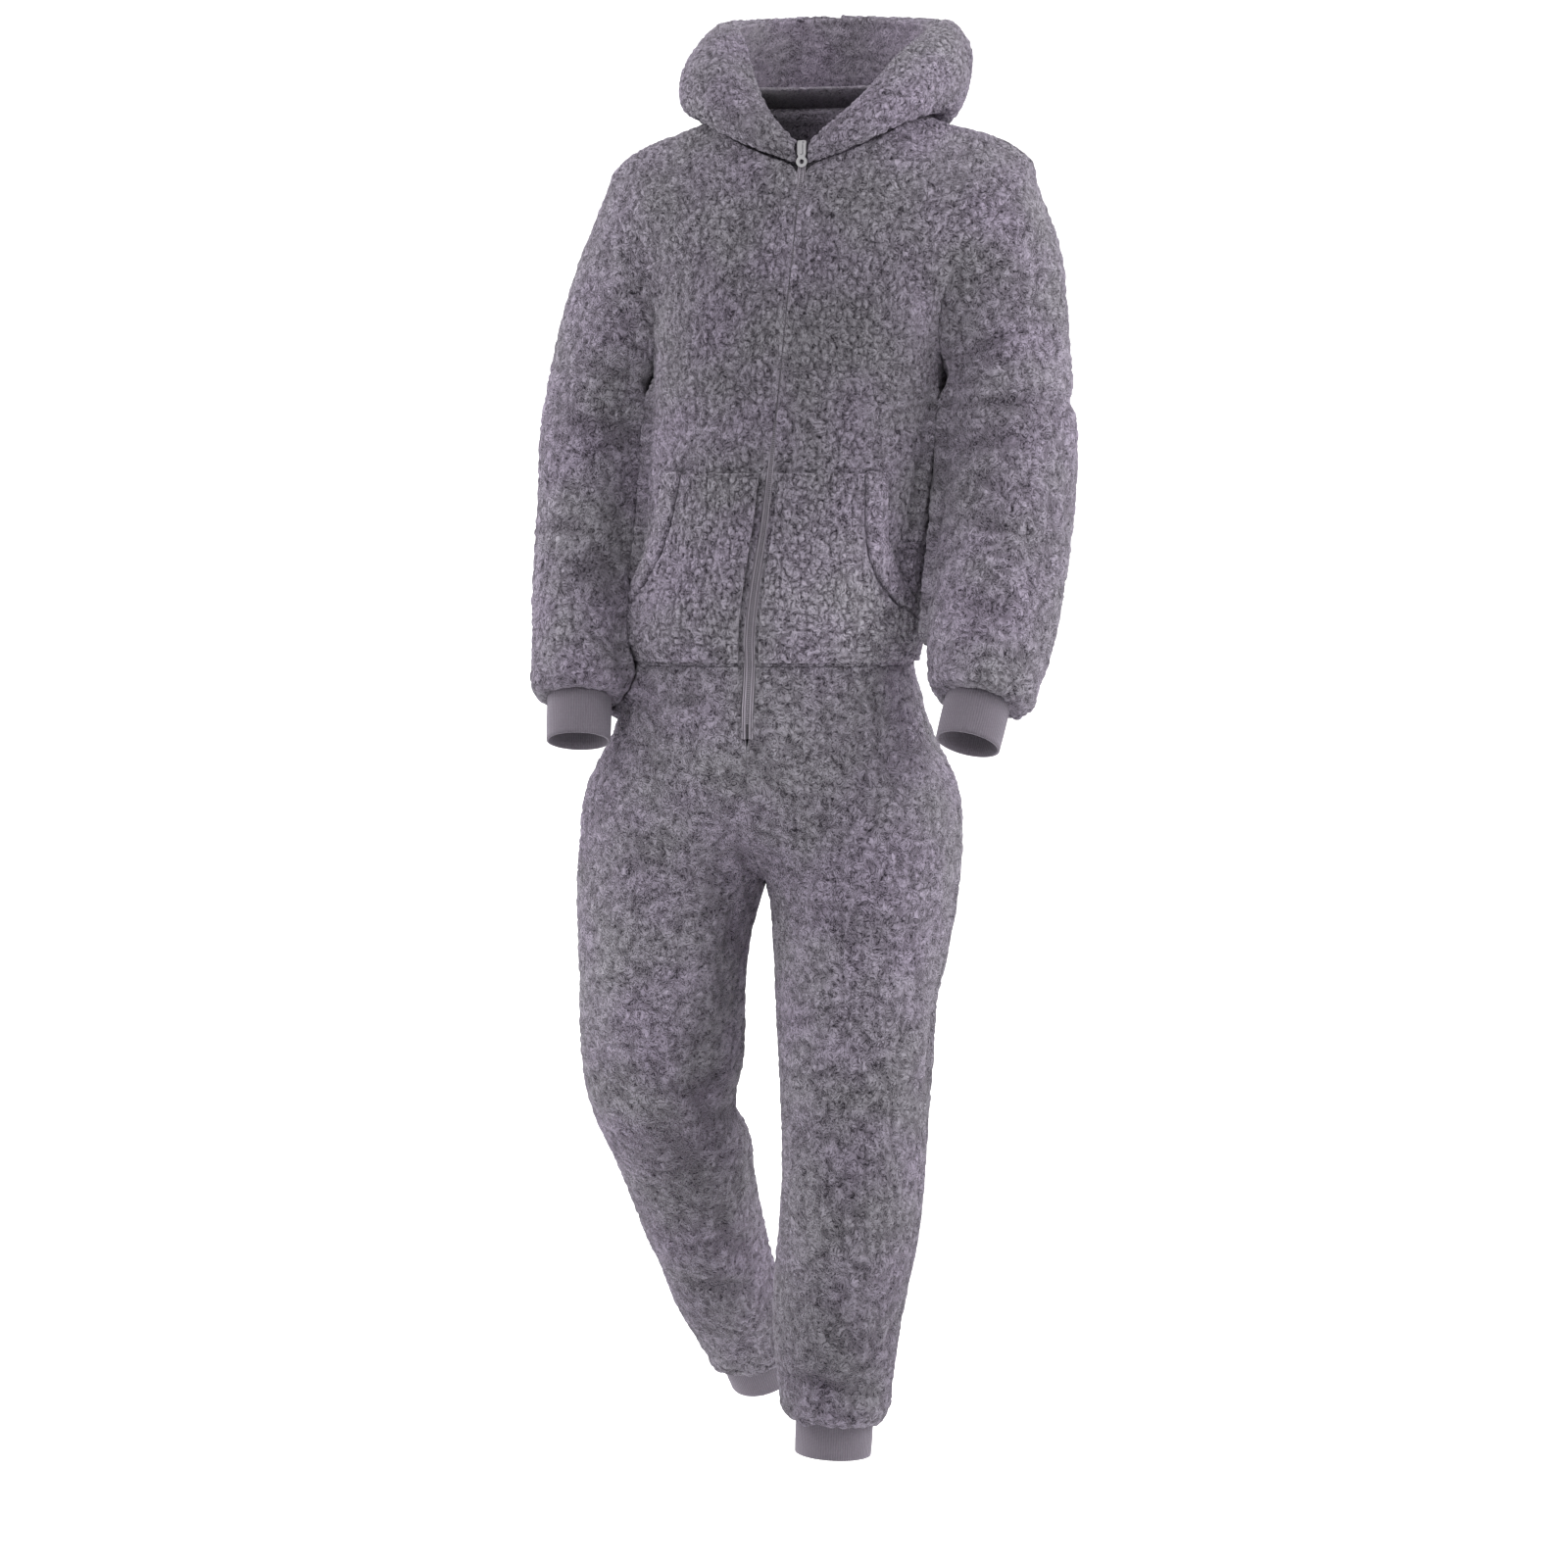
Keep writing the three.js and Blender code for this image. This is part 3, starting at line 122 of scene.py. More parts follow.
# Creases that the photograph shows, then similar ones on the sides that it hides
CREASES: tuple[Crease, ...] = (
    Crease(((168, -76, -228), (198, -88, -208), (247, -77, -188)), 8, 3.2),
    Crease(((161, -72, -275), (219, -98, -271), (259, -86, -270)), 8, 3.6),
    Crease(((173, -85, -319), (211, -106, -311), (251, -100, -314)), 9, 3.4),
    Crease(((183, -105, -354), (205, -113, -351), (222, -118, -367)), 7, 2.6),
    Crease(((191, -119, -395), (233, -127, -409)), 9, 3.2),
    Crease(((190, -149, -476), (225, -160, -498)), 10, 3.0),
    Crease(((-235, -78, -225), (-186, -65, -241)), 8, 3.0),
    Crease(((-284, -62, -275), (-237, -81, -289), (-195, -63, -293)), 8, 3.6),
    Crease(((-247, -84, -322), (-189, -53, -304)), 9, 3.2),
    Crease(((-300, -75, -396), (-259, -99, -402), (-227, -96, -408)), 8, 3.2),
    Crease(((-250, -120, -470), (-221, -97, -437), (-203, -87, -458)), 9, 3.0),
    Crease(((-179, -99, -575), (-126, -141, -586), (-69, -152, -596)), 6, 2.0),
    Crease(((-149, -131, -601), (-114, -145, -590), (-75, -151, -577)), 6, 1.8),
    Crease(((15, -146, -573), (65, -126, -586), (108, -66, -575)), 7, 1.6),
    Crease(((-63, -106, -747), (-63, -68, -774)), 8, 4.0),
    Crease(((-78, -55, -830), (-89, -58, -875)), 8, 3.0),
    Crease(((-118, -64, -987), (-123, -56, -1019), (-114, -7, -1088)), 9, 3.0),
    Crease(((-118, 27, -1155), (-112, 57, -1207), (-89, 105, -1238)), 9, 3.4),
    Crease(((-95, -32, -1000), (-114, -48, -1023)), 9, 3.6),
    Crease(((-109, -27, -1051), (-96, 66, -1067)), 9, 3.4),
    Crease(((-160, -52, -1064), (-137, -15, -1108), (-130, 9, -1141)), 16, 3.0),
    Crease(((-164, 76, -1263), (-120, 83, -1270), (-87, 117, -1281)), 9, 3.4),
    Crease(((-14, -117, -1020), (-9, -126, -1046), (6, -146, -1064), (7, -149, -1093)), 8, -2.2),
    Crease(((159, -32, -842), (146, -48, -907), (142, -82, -978), (141, -83, -1039)), 8, 1.8),
    Crease(((112, -113, -1257), (104, -123, -1297)), 9, 2.4),
    Crease(((-3, -137, -1324), (30, -155, -1320), (72, -140, -1337)), 8, 3.4),
    Crease(((50, -152, -1358), (72, -142, -1364)), 6, 2.4),
    Crease(((-114, -75, 78), (-68, -106, 36), (-27, -104, -2)), 10, 2.4),
    Crease(((163, 25, 132), (172, 30, 112), (176, 40, 88)), 9, 3.6),
    Crease(((250, 55, -250), (292, 5, -262), (286, -45, -272)), 9, 3.2),
    Crease(((190, 52, -300), (235, 48, -322), (280, 10, -330)), 9, 3.2),
    Crease(((175, 20, -380), (215, 30, -392), (262, 10, -400)), 9, 3.4),
    Crease(((170, -25, -450), (210, -6, -470), (255, -20, -470)), 10, 3.2),
    Crease(((-262, 54, -245), (-225, 62, -262), (-180, 40, -258)), 9, 3.2),
    Crease(((-296, 20, -322), (-252, 44, -336), (-205, 20, -330)), 9, 3.4),
    Crease(((-298, -5, -410), (-255, 16, -420), (-210, 0, -416)), 9, 3.2),
    Crease(((-296, -40, -490), (-250, -8, -500), (-205, -30, -496)), 9, 3.0),
    Crease(((-120, 116, -380), (-50, 122, -402), (30, 118, -396)), 14, 3.0),
    Crease(((-90, 120, -470), (-30, 126, -482), (70, 112, -474)), 12, 2.6),
    Crease(((-150, 112, -600), (-90, 126, -612), (-40, 128, -606)), 10, 2.0),
    Crease(((-20, 128, -596), (50, 118, -612), (98, 84, -606)), 10, 2.0),
    Crease(((-52, 100, -772), (-50, 60, -806)), 10, 4.0),
    Crease(((-240, 70, -880), (-180, 94, -900), (-110, 70, -890)), 14, 3.4),
    Crease(((-230, 80, -940), (-178, 104, -952), (-120, 84, -946)), 12, 3.0),
    Crease(((-10, 40, -880), (56, 54, -892), (120, 20, -884)), 14, 3.2),
    Crease(((0, 20, -985), (60, 14, -1000), (130, -14, -992)), 12, 3.4),
    Crease(((-5, 0, -1080), (60, -8, -1096), (125, -30, -1088)), 12, 3.2),
    Crease(((-12, -10, -1200), (50, -14, -1214), (108, -34, -1206)), 12, 3.4),
    Crease(((-10, -40, -1296), (42, -26, -1306), (96, -44, -1298)), 10, 3.6),
    Crease(((-190, 190, -1210), (-150, 196, -1216), (-100, 180, -1220)), 11, 3.2),
    Crease(((-60, 112, 96), (-20, 128, 84), (30, 132, 88)), 14, 3.0),
)


@dataclass(frozen=True)
class Brushed:
    """A broad soft patch where the pile looks paler or darker: partly its own tone where it lies another way,
    partly painted shade and painted light.

    Its middle and its reach along each axis are in millimetres.
    """

    middle: Point
    reach: Point
    paler: float


# Patches that darken the chest and lower legs and pale the belly and pocket: partly nap tone, partly painted
# shade and painted light
NAP_TONE_AND_PAINTED_LIGHT: tuple[Brushed, ...] = (
    Brushed((-70, -90, -190), (80, 110, 170), -0.24),
    Brushed((80, -90, -200), (80, 110, 150), -0.26),
    Brushed((0, -120, -350), (60, 90, 60), -0.1),
    Brushed((60, -140, -490), (110, 80, 80), 0.3),
    Brushed((110, -60, -520), (70, 80, 110), 0.34),
    Brushed((-110, -130, -540), (70, 80, 90), -0.06),
    Brushed((60, -120, -1080), (110, 120, 130), -0.18),
    Brushed((60, -120, -1290), (120, 130, 100), -0.3),
    Brushed((-120, 20, -1130), (110, 130, 130), -0.18),
    Brushed((-110, 100, -1280), (110, 130, 80), -0.16),
    Brushed((30, -110, -760), (90, 90, 80), -0.12),
    Brushed((-150, -100, -900), (90, 90, 120), 0.08),
    Brushed((150, -60, 60), (70, 90, 90), 0.14),
    Brushed((-60, 110, -150), (130, 80, 140), -0.16),
    Brushed((60, 120, -420), (150, 80, 100), 0.1),
    Brushed((-170, 100, -900), (90, 90, 130), -0.12),
    Brushed((70, 60, -1000), (90, 90, 160), -0.14),
)


def hashed(cells: np.ndarray, salt: int) -> np.ndarray:
    """Give one number from 0 to 1 for each whole-numbered cell.

    Args:
        cells: array of whole cell numbers, three per row.
        salt: number that makes one set of values unlike another.

    Returns:
        Array with one value per row.
    """
    mask = np.uint64(0xFFFFFFFF)
    c = (cells.astype(np.int64) & 0xFFFFFFFF).astype(np.uint64)
    h = (c[..., 0] * np.uint64(73856093)) ^ (c[..., 1] * np.uint64(19349663))
    h = (h ^ (c[..., 2] * np.uint64(83492791)) ^ np.uint64(salt * 2654435761)) & mask
    h = ((h ^ (h >> np.uint64(15))) * np.uint64(2246822519)) & mask
    h = ((h ^ (h >> np.uint64(13))) * np.uint64(3266489917)) & mask
    h = (h ^ (h >> np.uint64(16))) & mask
    return h.astype(np.float64) / 4294967295.0


def waves(points: np.ndarray, salt: int) -> np.ndarray:
    """Give smooth noise from -1 to 1 at points in units of its cells.

    Args:
        points: places, three numbers per row.
        salt: number that makes one noise unlike another.

    Returns:
        Array with one value per row.
    """
    base = np.floor(points)
    part = smooth(points - base)
    total = np.zeros(len(points))
    for corner in range(8):
        step = np.array([corner & 1, (corner >> 1) & 1, corner >> 2])
        weight = np.prod(np.where(step == 1, part, 1.0 - part), axis=1)
        total += weight * hashed(base + step, salt)
    return 2.0 * total - 1.0


def clumps(points: np.ndarray, salt: int) -> np.ndarray:
    """Give rounded clumps of pile: 1 on their tops, 0 in the narrow valleys between them.

    Args:
        points: places in units of one clump, three numbers per row.
        salt: number that makes one set of clumps unlike another.

    Returns:
        Array with one value per row.
    """
    base = np.floor(points)
    nearest = np.full(len(points), 9.0)
    second = np.full(len(points), 9.0)
    for number in range(27):
        step = np.array([number % 3 - 1, (number // 3) % 3 - 1, number // 9 - 1])
        cell = base + step
        seeds = np.stack([hashed(cell, salt + k) for k in range(3)], axis=1)
        gap = np.linalg.norm(cell + 0.15 + 0.7 * seeds - points, axis=1)
        second = np.minimum(second, np.maximum(gap, nearest))
        nearest = np.minimum(nearest, gap)
    return smooth((second - nearest) / 0.42)


@dataclass
class Surface:
    """A mesh as plain arrays: points in metres and faces as lists of point numbers."""

    points: np.ndarray
    faces: list[list[int]]


class NodeSkin:
    """The outer side of a thin-walled CAD solid, read from its node.

    Sizes are in metres. Angles are in radians.
    """

    WELD: ClassVar[float] = 2e-5
    # A wall is thinner than the first, and what lies nearer than the second isn't its other side
    WALL_MOST: ClassVar[float] = 0.0105
    WALL_LEAST: ClassVar[float] = 0.0008
    # A group this small beside the largest one is a stray edge and not a side
    SIDE_SHARE: ClassVar[float] = 0.3
    # Edges of the wall sharper than this keep this much of their sharpness
    RIM_ANGLE: ClassVar[float] = 0.9
    RIM_SHARP: ClassVar[float] = 0.72

    def __init__(self, node: str, facing_in: bool, keep_rims: bool) -> None:
        """Read the node's mesh and keep the faces of one side.

        Args:
            node: name of the CAD node.
            facing_in: keep the side that faces the hollow instead of the outer one.
            keep_rims: keep the faces along the wall's edges too, a little rounded.
        """
        self.node = node
        mesh = bmesh.new()
        mesh.from_mesh(FRAME["nodes"][node].data)
        bmesh.ops.remove_doubles(mesh, verts=mesh.verts, dist=self.WELD)
        mesh.normal_update()
        mesh.faces.ensure_lookup_table()
        tree = BVHTree.FromBMesh(mesh)
        middle = sum((v.co for v in mesh.verts), Vector()) / len(mesh.verts)
        sides = self._sides(mesh, tree)
        chosen: set[int] = set()
        groups = self._groups(mesh, sides)
        areas = [sum(mesh.faces[i].calc_area() for i in group) for group in groups]
        for group, area in zip(groups, areas):
            score = 0.0
            for face in (mesh.faces[i] for i in group):
                score += face.calc_area() * face.normal.dot(face.calc_center_median() - middle)
            if (score > 0) != facing_in and area > self.SIDE_SHARE * max(areas):
                chosen |= group
        self.side_faces = len(chosen)
        if keep_rims:
            chosen |= {face.index for face in mesh.faces} - sides
        doomed = [face for face in mesh.faces if face.index not in chosen]
        bmesh.ops.delete(mesh, geom=doomed, context="FACES")
        bmesh.ops.join_triangles(
            mesh, faces=mesh.faces, angle_face_threshold=0.9, angle_shape_threshold=1.2, cmp_seam=False
        )
        if keep_rims:
            layer = mesh.edges.layers.float.new("crease_edge")
            for edge in mesh.edges:
                if len(edge.link_faces) == 2 and edge.calc_face_angle(0.0) > self.RIM_ANGLE:
                    edge[layer] = self.RIM_SHARP
        self.mesh = bpy.data.meshes.new(node + "_skin")
        mesh.to_mesh(self.mesh)
        mesh.free()

    @classmethod
    def _sides(cls, mesh: bmesh.types.BMesh, tree: BVHTree) -> set[int]:
        """Find the faces that have the wall's other side just behind them.

        Args:
            mesh: the node's welded mesh.
            tree: search tree of the same mesh.

        Returns:
            The numbers of those faces.
        """
        found: set[int] = set()
        for face in mesh.faces:
            start = face.calc_center_median() - face.normal * 0.0002
            _, normal, _, gap = tree.ray_cast(start, -face.normal, cls.WALL_MOST)
            if normal is not None and gap > cls.WALL_LEAST and normal.dot(face.normal) < -0.6:
                found.add(face.index)
        return found

    @staticmethod
    def _groups(mesh: bmesh.types.BMesh, allowed: set[int]) -> list[set[int]]:
        """Split faces into groups that hang together without a sharp edge.

        Args:
            mesh: the node's welded mesh.
            allowed: numbers of the faces to group.

        Returns:
            One set of face numbers per group.
        """
        left = set(allowed)
        groups: list[set[int]] = []
        while left:
            queue = [left.pop()]
            group = set(queue)
            while queue:
                face = mesh.faces[queue.pop()]
                for edge in face.edges:
                    for other in edge.link_faces:
                        if other.index in left and other.normal.dot(face.normal) > 0.45:
                            left.discard(other.index)
                            group.add(other.index)
                            queue.append(other.index)
            groups.append(group)
        return groups

    def refined(self, levels: int) -> Surface:
        """Give the skin with each face divided into smaller ones on a smooth surface.

        Args:
            levels: how many times each face is divided into four.

        Returns:
            The finer surface; the skin's own points come first in it.
        """
        holder = bpy.data.objects.new(self.node + "_fine", self.mesh)
        bpy.context.scene.collection.objects.link(holder)
        modifier = holder.modifiers.new("fine", "SUBSURF")
        modifier.levels = levels
        modifier.boundary_smooth = "PRESERVE_CORNERS"
        modifier.uv_smooth = "NONE"
        fine = holder.evaluated_get(bpy.context.evaluated_depsgraph_get()).to_mesh()
        points = np.empty(len(fine.vertices) * 3)
        fine.vertices.foreach_get("co", points)
        faces = [list(face.vertices) for face in fine.polygons]
        bpy.data.objects.remove(holder)
        return Surface(points.reshape(-1, 3), faces)


TREES: dict[str, BVHTree] = {}


def node_tree(node: str) -> BVHTree:
    """Give a search tree of a CAD node's mesh, made once."""
    if node not in TREES:
        mesh = FRAME["nodes"][node].data
        spots = [v.co for v in mesh.vertices]
        TREES[node] = BVHTree.FromPolygons(spots, [list(face.vertices) for face in mesh.polygons])
    return TREES[node]


def point_normals(surface: Surface) -> np.ndarray:
    """Give a unit normal at each point of a surface of four-sided faces.

    Args:
        surface: the surface.

    Returns:
        Array with one normal per row.
    """
    quads = np.array([face if len(face) == 4 else face + face[-1:] for face in surface.faces])
    corners = surface.points[quads]
    normals = np.cross(corners[:, 2] - corners[:, 0], corners[:, 3] - corners[:, 1])
    total = np.zeros_like(surface.points)
    for k in range(4):
        np.add.at(total, quads[:, k], normals)
    size = np.linalg.norm(total, axis=1, keepdims=True)
    return total / np.where(size == 0.0, 1.0, size)


def border_runs(surface: Surface, coarse: int) -> dict[tuple[int, int], list[int]]:
    """Follow the open border from each of the skin's own points to the next one.

    Args:
        surface: a refined skin.
        coarse: how many of its first points are the skin's own.

    Returns:
        For each pair of own points, the run of border points from the first to the second.
    """
    half: dict[tuple[int, int], bool] = {}
    for face in surface.faces:
        for a, b in zip(face, face[1:] + face[:1]):
            half[(a, b)] = True
    ahead = {a: b for a, b in half if (b, a) not in half}
    runs: dict[tuple[int, int], list[int]] = {}
    for start in [a for a in ahead if a < coarse]:
        run = [start, ahead[start]]
        while run[-1] >= coarse:
            run.append(ahead[run[-1]])
        runs[(start, run[-1])] = run
    return runs


def beyond_border(surface: Surface, runs: Iterable[list[int]], normals: np.ndarray) -> np.ndarray:
    """Give the way outwards along the cloth at each border point.

    Args:
        surface: a refined skin.
        runs: the runs of border points.
        normals: the surface's normals.

    Returns:
        One unit way per point, and zeros away from the border.
    """
    ways = np.zeros_like(surface.points)
    for run in runs:
        ends = np.array(run)
        step = surface.points[ends[1:]] - surface.points[ends[:-1]]
        side = np.cross(step, normals[ends[:-1]])
        np.add.at(ways, ends[:-1], side)
        np.add.at(ways, ends[1:], side)
    size = np.linalg.norm(ways, axis=1, keepdims=True)
    return ways / np.where(size == 0.0, 1.0, size)


def strip(upper: Sequence[int], lower: Sequence[int]) -> Iterable[list[int]]:
    """Fill the band between two runs of points that go the same way with triangles.

    Args:
        upper: point numbers of one run.
        lower: point numbers of the other.

    Returns:
        The triangles, each as three point numbers.
    """
    i = j = 0
    last_upper, last_lower = len(upper) - 1, len(lower) - 1
    while i < last_upper or j < last_lower:
        if j == last_lower or (i < last_upper and (i + 1) * last_lower <= (j + 1) * last_upper):
            yield [upper[i + 1], upper[i], lower[j]]
            i += 1
        else:
            yield [upper[i], lower[j], lower[j + 1]]
            j += 1


@dataclass(frozen=True)
class Nap:
    """How far the pile stands and how its clumps are sized, in millimetres."""

    clump: Point = (11.0, 11.0, 15.0)
    high: float = 1.7
    low: float = -1.8
    at_edge: float = 0.5
    edge_reach: float = 9.0
    edge_lift: float = 1.7


# Clumps of the fronts and the pockets, which the photograph shows finer than the rest
FINE_CLUMP: Point = (7.5, 7.5, 10.0)


@dataclass(frozen=True)
class Cut:
    """A piece as it was cut: flat width, length and area in metres, thickness in millimetres."""

    width: float
    length: float
    area: float
    thick: float


@dataclass
class Cloth:
    """One sewn piece of cloth that stands for a CAD node: a closed thin shell.

    Lengths are in millimetres. The pile swells towards the nodes in grows_to, is pressed in beside the
    node groove_by, and is moved by shape, a function from points to shifts in metres. A tube doesn't
    swell at its ends. The border reaches past the node's by overlap, so that no seam gapes.
    """

    name: str
    node: str
    cut: Cut
    material: bpy.types.Material
    slot: str
    nap: Nap | None = None
    facing_in: bool = False
    keep_rims: bool = False
    levels: int = 3
    held: str = "hung"
    rests_on: tuple[str, ...] = ()
    grows_to: tuple[str, ...] = ()
    groove_by: str = ""
    gathers: float = 0.0
    raised: float = 0.0
    paler: float = 1.0
    tube: bool = False
    overlap: float = 0.0
    shape: Callable[[np.ndarray], np.ndarray] | None = None
    # How far off a neighbour is seen, in metres
    SWELL_REACH: ClassVar[float] = 0.04
    # How much of the way to it the pile swells, what it leaves open, its most, and where it fades
    SWELL_SHARE: ClassVar[float] = 0.52
    SWELL_GAP: ClassVar[float] = 1.2
    SWELL_MOST: ClassVar[float] = 11.0
    SWELL_FADE: ClassVar[float] = 30.0
    ARMPIT_FADE: ClassVar[float] = 45.0
    GATHER_REACH: ClassVar[float] = 58.0
    GROOVE_DEPTH: ClassVar[float] = 3.2
    GROOVE_WIDTH: ClassVar[float] = 6.0

    def build(self) -> None:
        skin = NodeSkin(self.node, self.facing_in, self.keep_rims)
        fine = skin.refined(self.levels)
        inner = skin.refined(1)
        own = len(skin.mesh.vertices)
        pile = self._form(fine, own)
        depth = self.cut.thick + np.maximum(self._dips(inner.points), 0.0)
        inner.points -= point_normals(inner) * depth[:, None] * MM
        shell = self._close(fine, inner, own)
        mesh = bpy.data.meshes.new(self.name)
        mesh.from_pydata(shell.points.tolist(), [], shell.faces)
        mesh.polygons.foreach_set("use_smooth", [True] * len(mesh.polygons))
        # Height in the pile, which also sets the colour: low and dark is painted shade between curls, in
        # creases and in grooves
        self._attribute(mesh, "pile", np.concatenate([pile, np.full(len(inner.points), 0.4)]))
        # Stored patches of nap tone, painted shade and painted light that darken or pale the colour
        self._attribute(mesh, "brushed", self._brushed(shell.points))
        if self.nap is None:
            self._attribute(mesh, "around", self._around(shell.points, fine, own))
        mesh.materials.append(self.material)
        mesh.update()
        piece = bpy.data.objects.new(self.name, mesh)
        bpy.context.scene.collection.objects.link(piece)
        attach(piece, GARMENT)
        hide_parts(self.node)
        triangles = sum(len(face) - 2 for face in shell.faces)
        area = sum(face.area for face in mesh.polygons) / 2.0
        LOG.info("%s: %d faces, %d triangles, %.4f m2", self.name, skin.side_faces, triangles, area)
        bpy.data.meshes.remove(skin.mesh)

    @staticmethod
    def _attribute(mesh: bpy.types.Mesh, name: str, values: np.ndarray) -> None:
        """Store one number for each point of a mesh."""
        mesh.attributes.new(name, "FLOAT", "POINT").data.foreach_set("value", values)

    def _brushed(self, points: np.ndarray) -> np.ndarray:
        """Give how pale the pile looks, from the broad patches of nap tone, painted shade and painted light.

        Args:
            points: places in metres.

        Returns:
            One share per point, the piece's own paleness where no patch reaches.
        """
        tone = np.full(len(points), self.paler)
        for patch in NAP_TONE_AND_PAINTED_LIGHT:
            gap = (points / MM - np.array(patch.middle)) / np.array(patch.reach)
            tone += patch.paler * np.exp(-np.sum(gap * gap, axis=1))
        return tone

    @staticmethod
    def _around(points: np.ndarray, fine: Surface, own: int) -> np.ndarray:
        """Give how far round a tube each point is, in millimetres of its mean girth.

        Args:
            points: the points to place.
            fine: the tube's outer side.
            own: how many of its first points are the skin's own.

        Returns:
            One length per point, or zeros where the piece isn't a tube.
        """
        ends = [start for start, _ in border_runs(fine, own)]
        if not ends:
            return np.zeros(len(points))
        middle = points.mean(axis=0)
        rims = fine.points[ends]
        _, _, ways = np.linalg.svd(rims - rims.mean(axis=0))
        spread = [np.abs((rims - middle) @ way) for way in ways]
        axis = ways[int(np.argmin([s.std() / s.mean() for s in spread]))]
        side = np.cross(axis, (0.3, 1.0, 0.1))
        side /= np.linalg.norm(side)
        other = np.cross(axis, side)
        offsets = points - middle
        radius = np.linalg.norm(offsets - np.outer(offsets @ axis, axis), axis=1).mean() / MM
        return np.arctan2(offsets @ other, offsets @ side) * radius

    def _form(self, fine: Surface, own: int) -> np.ndarray:
        """Press the creases in and raise the pile.

        Args:
            fine: the refined skin, whose points are moved.
            own: how many of its first points are the skin's own.

        Returns:
            For each point, how high it is in the pile, from 0 to 1, kept low in creases and beside bands so
            that the colour there is painted shade.
        """
        normals = point_normals(fine)
        lift = np.full(len(fine.points), self.raised)
        runs = list(border_runs(fine, own).values())
        border = sorted({k for run in runs for k in run})
        if self.overlap:
            fine.points += beyond_border(fine, runs, normals) * self.overlap * MM
        away = self._away(fine.points, border) / MM
        kept = 0.0 if self.tube else 0.5
        lift += self._swell(fine.points, normals) * (kept + (1.0 - kept) * smooth(away / self.SWELL_FADE))
        lift += self._gathered(fine.points)
        dips = self._dips(fine.points)
        lift -= dips
        if self.shape is not None:
            fine.points += self.shape(fine.points)
        if self.nap is None:
            fine.points += normals * lift[:, None] * MM
            return np.full(len(fine.points), 0.6)
        nap = self.nap
        # Flatten the pile in the creases; its lower value also darkens their colour as painted shade
        pile = self._pile(fine.points / MM) * (1.0 - 0.8 * smooth((dips - 0.8) / 4.0))
        if self.groove_by:
            press = self._groove(fine.points)
            lift -= self.GROOVE_DEPTH * press
            # Press the pile down beside the band; its lower value also darkens the colour there as painted
            # shade in the groove
            pile *= 1.0 - press
        inside = smooth(away / nap.edge_reach)
        fade = nap.at_edge + (1.0 - nap.at_edge) * inside
        lift += fade * (nap.low + (nap.high - nap.low) * pile) + nap.edge_lift * (1.0 - inside)
        fine.points += normals * lift[:, None] * MM
        return np.clip(pile, 0.0, 1.0)

    def _gathered(self, points: np.ndarray) -> np.ndarray:
        """Give the folds and lumps where the cloth is gathered on a cuff.

        Args:
            points: places in metres.

        Returns:
            One height per point, in millimetres.
        """
        if not self.gathers:
            return np.zeros(len(points))
        end = points[:, 2].min() / MM
        near = smooth(1.0 - (points[:, 2] / MM - end) / self.GATHER_REACH)
        folds = waves(points / MM / np.array([15.0, 15.0, 60.0]), 5)
        lumps = waves(points / MM / np.array([26.0, 26.0, 22.0]), 9)
        return self.gathers * near * (0.6 * folds + 0.6 * lumps + 0.25)

    def _pile(self, places: np.ndarray) -> np.ndarray:
        """Give the height of the pile's clumps.

        Args:
            places: places in millimetres.

        Returns:
            One height per place, from 0 to about 1.
        """
        warp = np.stack([waves(places / 17.0, PILE_SALT + k) for k in range(3)], axis=1)
        size = np.array(self.nap.clump)
        pile = 0.45 * clumps((places + 5.0 * warp) / size, PILE_SALT + 7)
        worms = waves((places - 4.0 * warp) / (0.75 * size), PILE_SALT + 23)
        pile += 0.55 * smooth(np.abs(worms) / 0.42)
        return pile * (0.84 + 0.16 * waves(places / 40.0, PILE_SALT + 41))

    def _groove(self, points: np.ndarray) -> np.ndarray:
        """Give how much the band sewn on beside them presses points in.

        Args:
            points: places in metres.

        Returns:
            One share per point, from 0 to 1.
        """
        tree = node_tree(self.groove_by)
        gap = np.array([tree.find_nearest(point, 0.02)[3] or 0.02 for point in points]) / MM
        return smooth(1.0 - gap / self.GROOVE_WIDTH)

    def _swell(self, points: np.ndarray, normals: np.ndarray) -> np.ndarray:
        """Give how far the pile fills narrow gaps beside neighbours.

        Args:
            points: places in metres.
            normals: the surface's normals there.

        Returns:
            One height per point, in millimetres.
        """
        lift = np.zeros(len(points))
        for node in self.grows_to:
            tree = node_tree(node)
            low, high = (np.array(corner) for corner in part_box(node))
            near = np.all((points > low - self.SWELL_REACH) & (points < high + self.SWELL_REACH), axis=1)
            for k in np.nonzero(near)[0]:
                gap = tree.ray_cast(points[k], normals[k], self.SWELL_REACH)[3]
                if gap is not None:
                    swell = self.SWELL_SHARE * (gap / MM - self.SWELL_GAP)
                    lift[k] = max(lift[k], min(swell, self.SWELL_MOST))
        return lift * smooth((ARMPIT - points[:, 2] / MM) / self.ARMPIT_FADE)

    @staticmethod
    def _away(points: np.ndarray, border: list[int]) -> np.ndarray:
        """Give each point's distance from the nearest border point.

        Args:
            points: places in metres.
            border: numbers of the border points.

        Returns:
            One distance per point in metres, or 1 where there is no border.
        """
        if not border:
            return np.full(len(points), 1.0)
        tree = KDTree(len(border))
        for k in border:
            tree.insert(points[k], k)
        tree.balance()
        return np.array([tree.find(p)[2] for p in points])

    def _dips(self, points: np.ndarray) -> np.ndarray:
        """Give how far all creases together press each point in, in millimetres."""
        return sum((self._trough(points, crease) for crease in CREASES), np.zeros(len(points)))

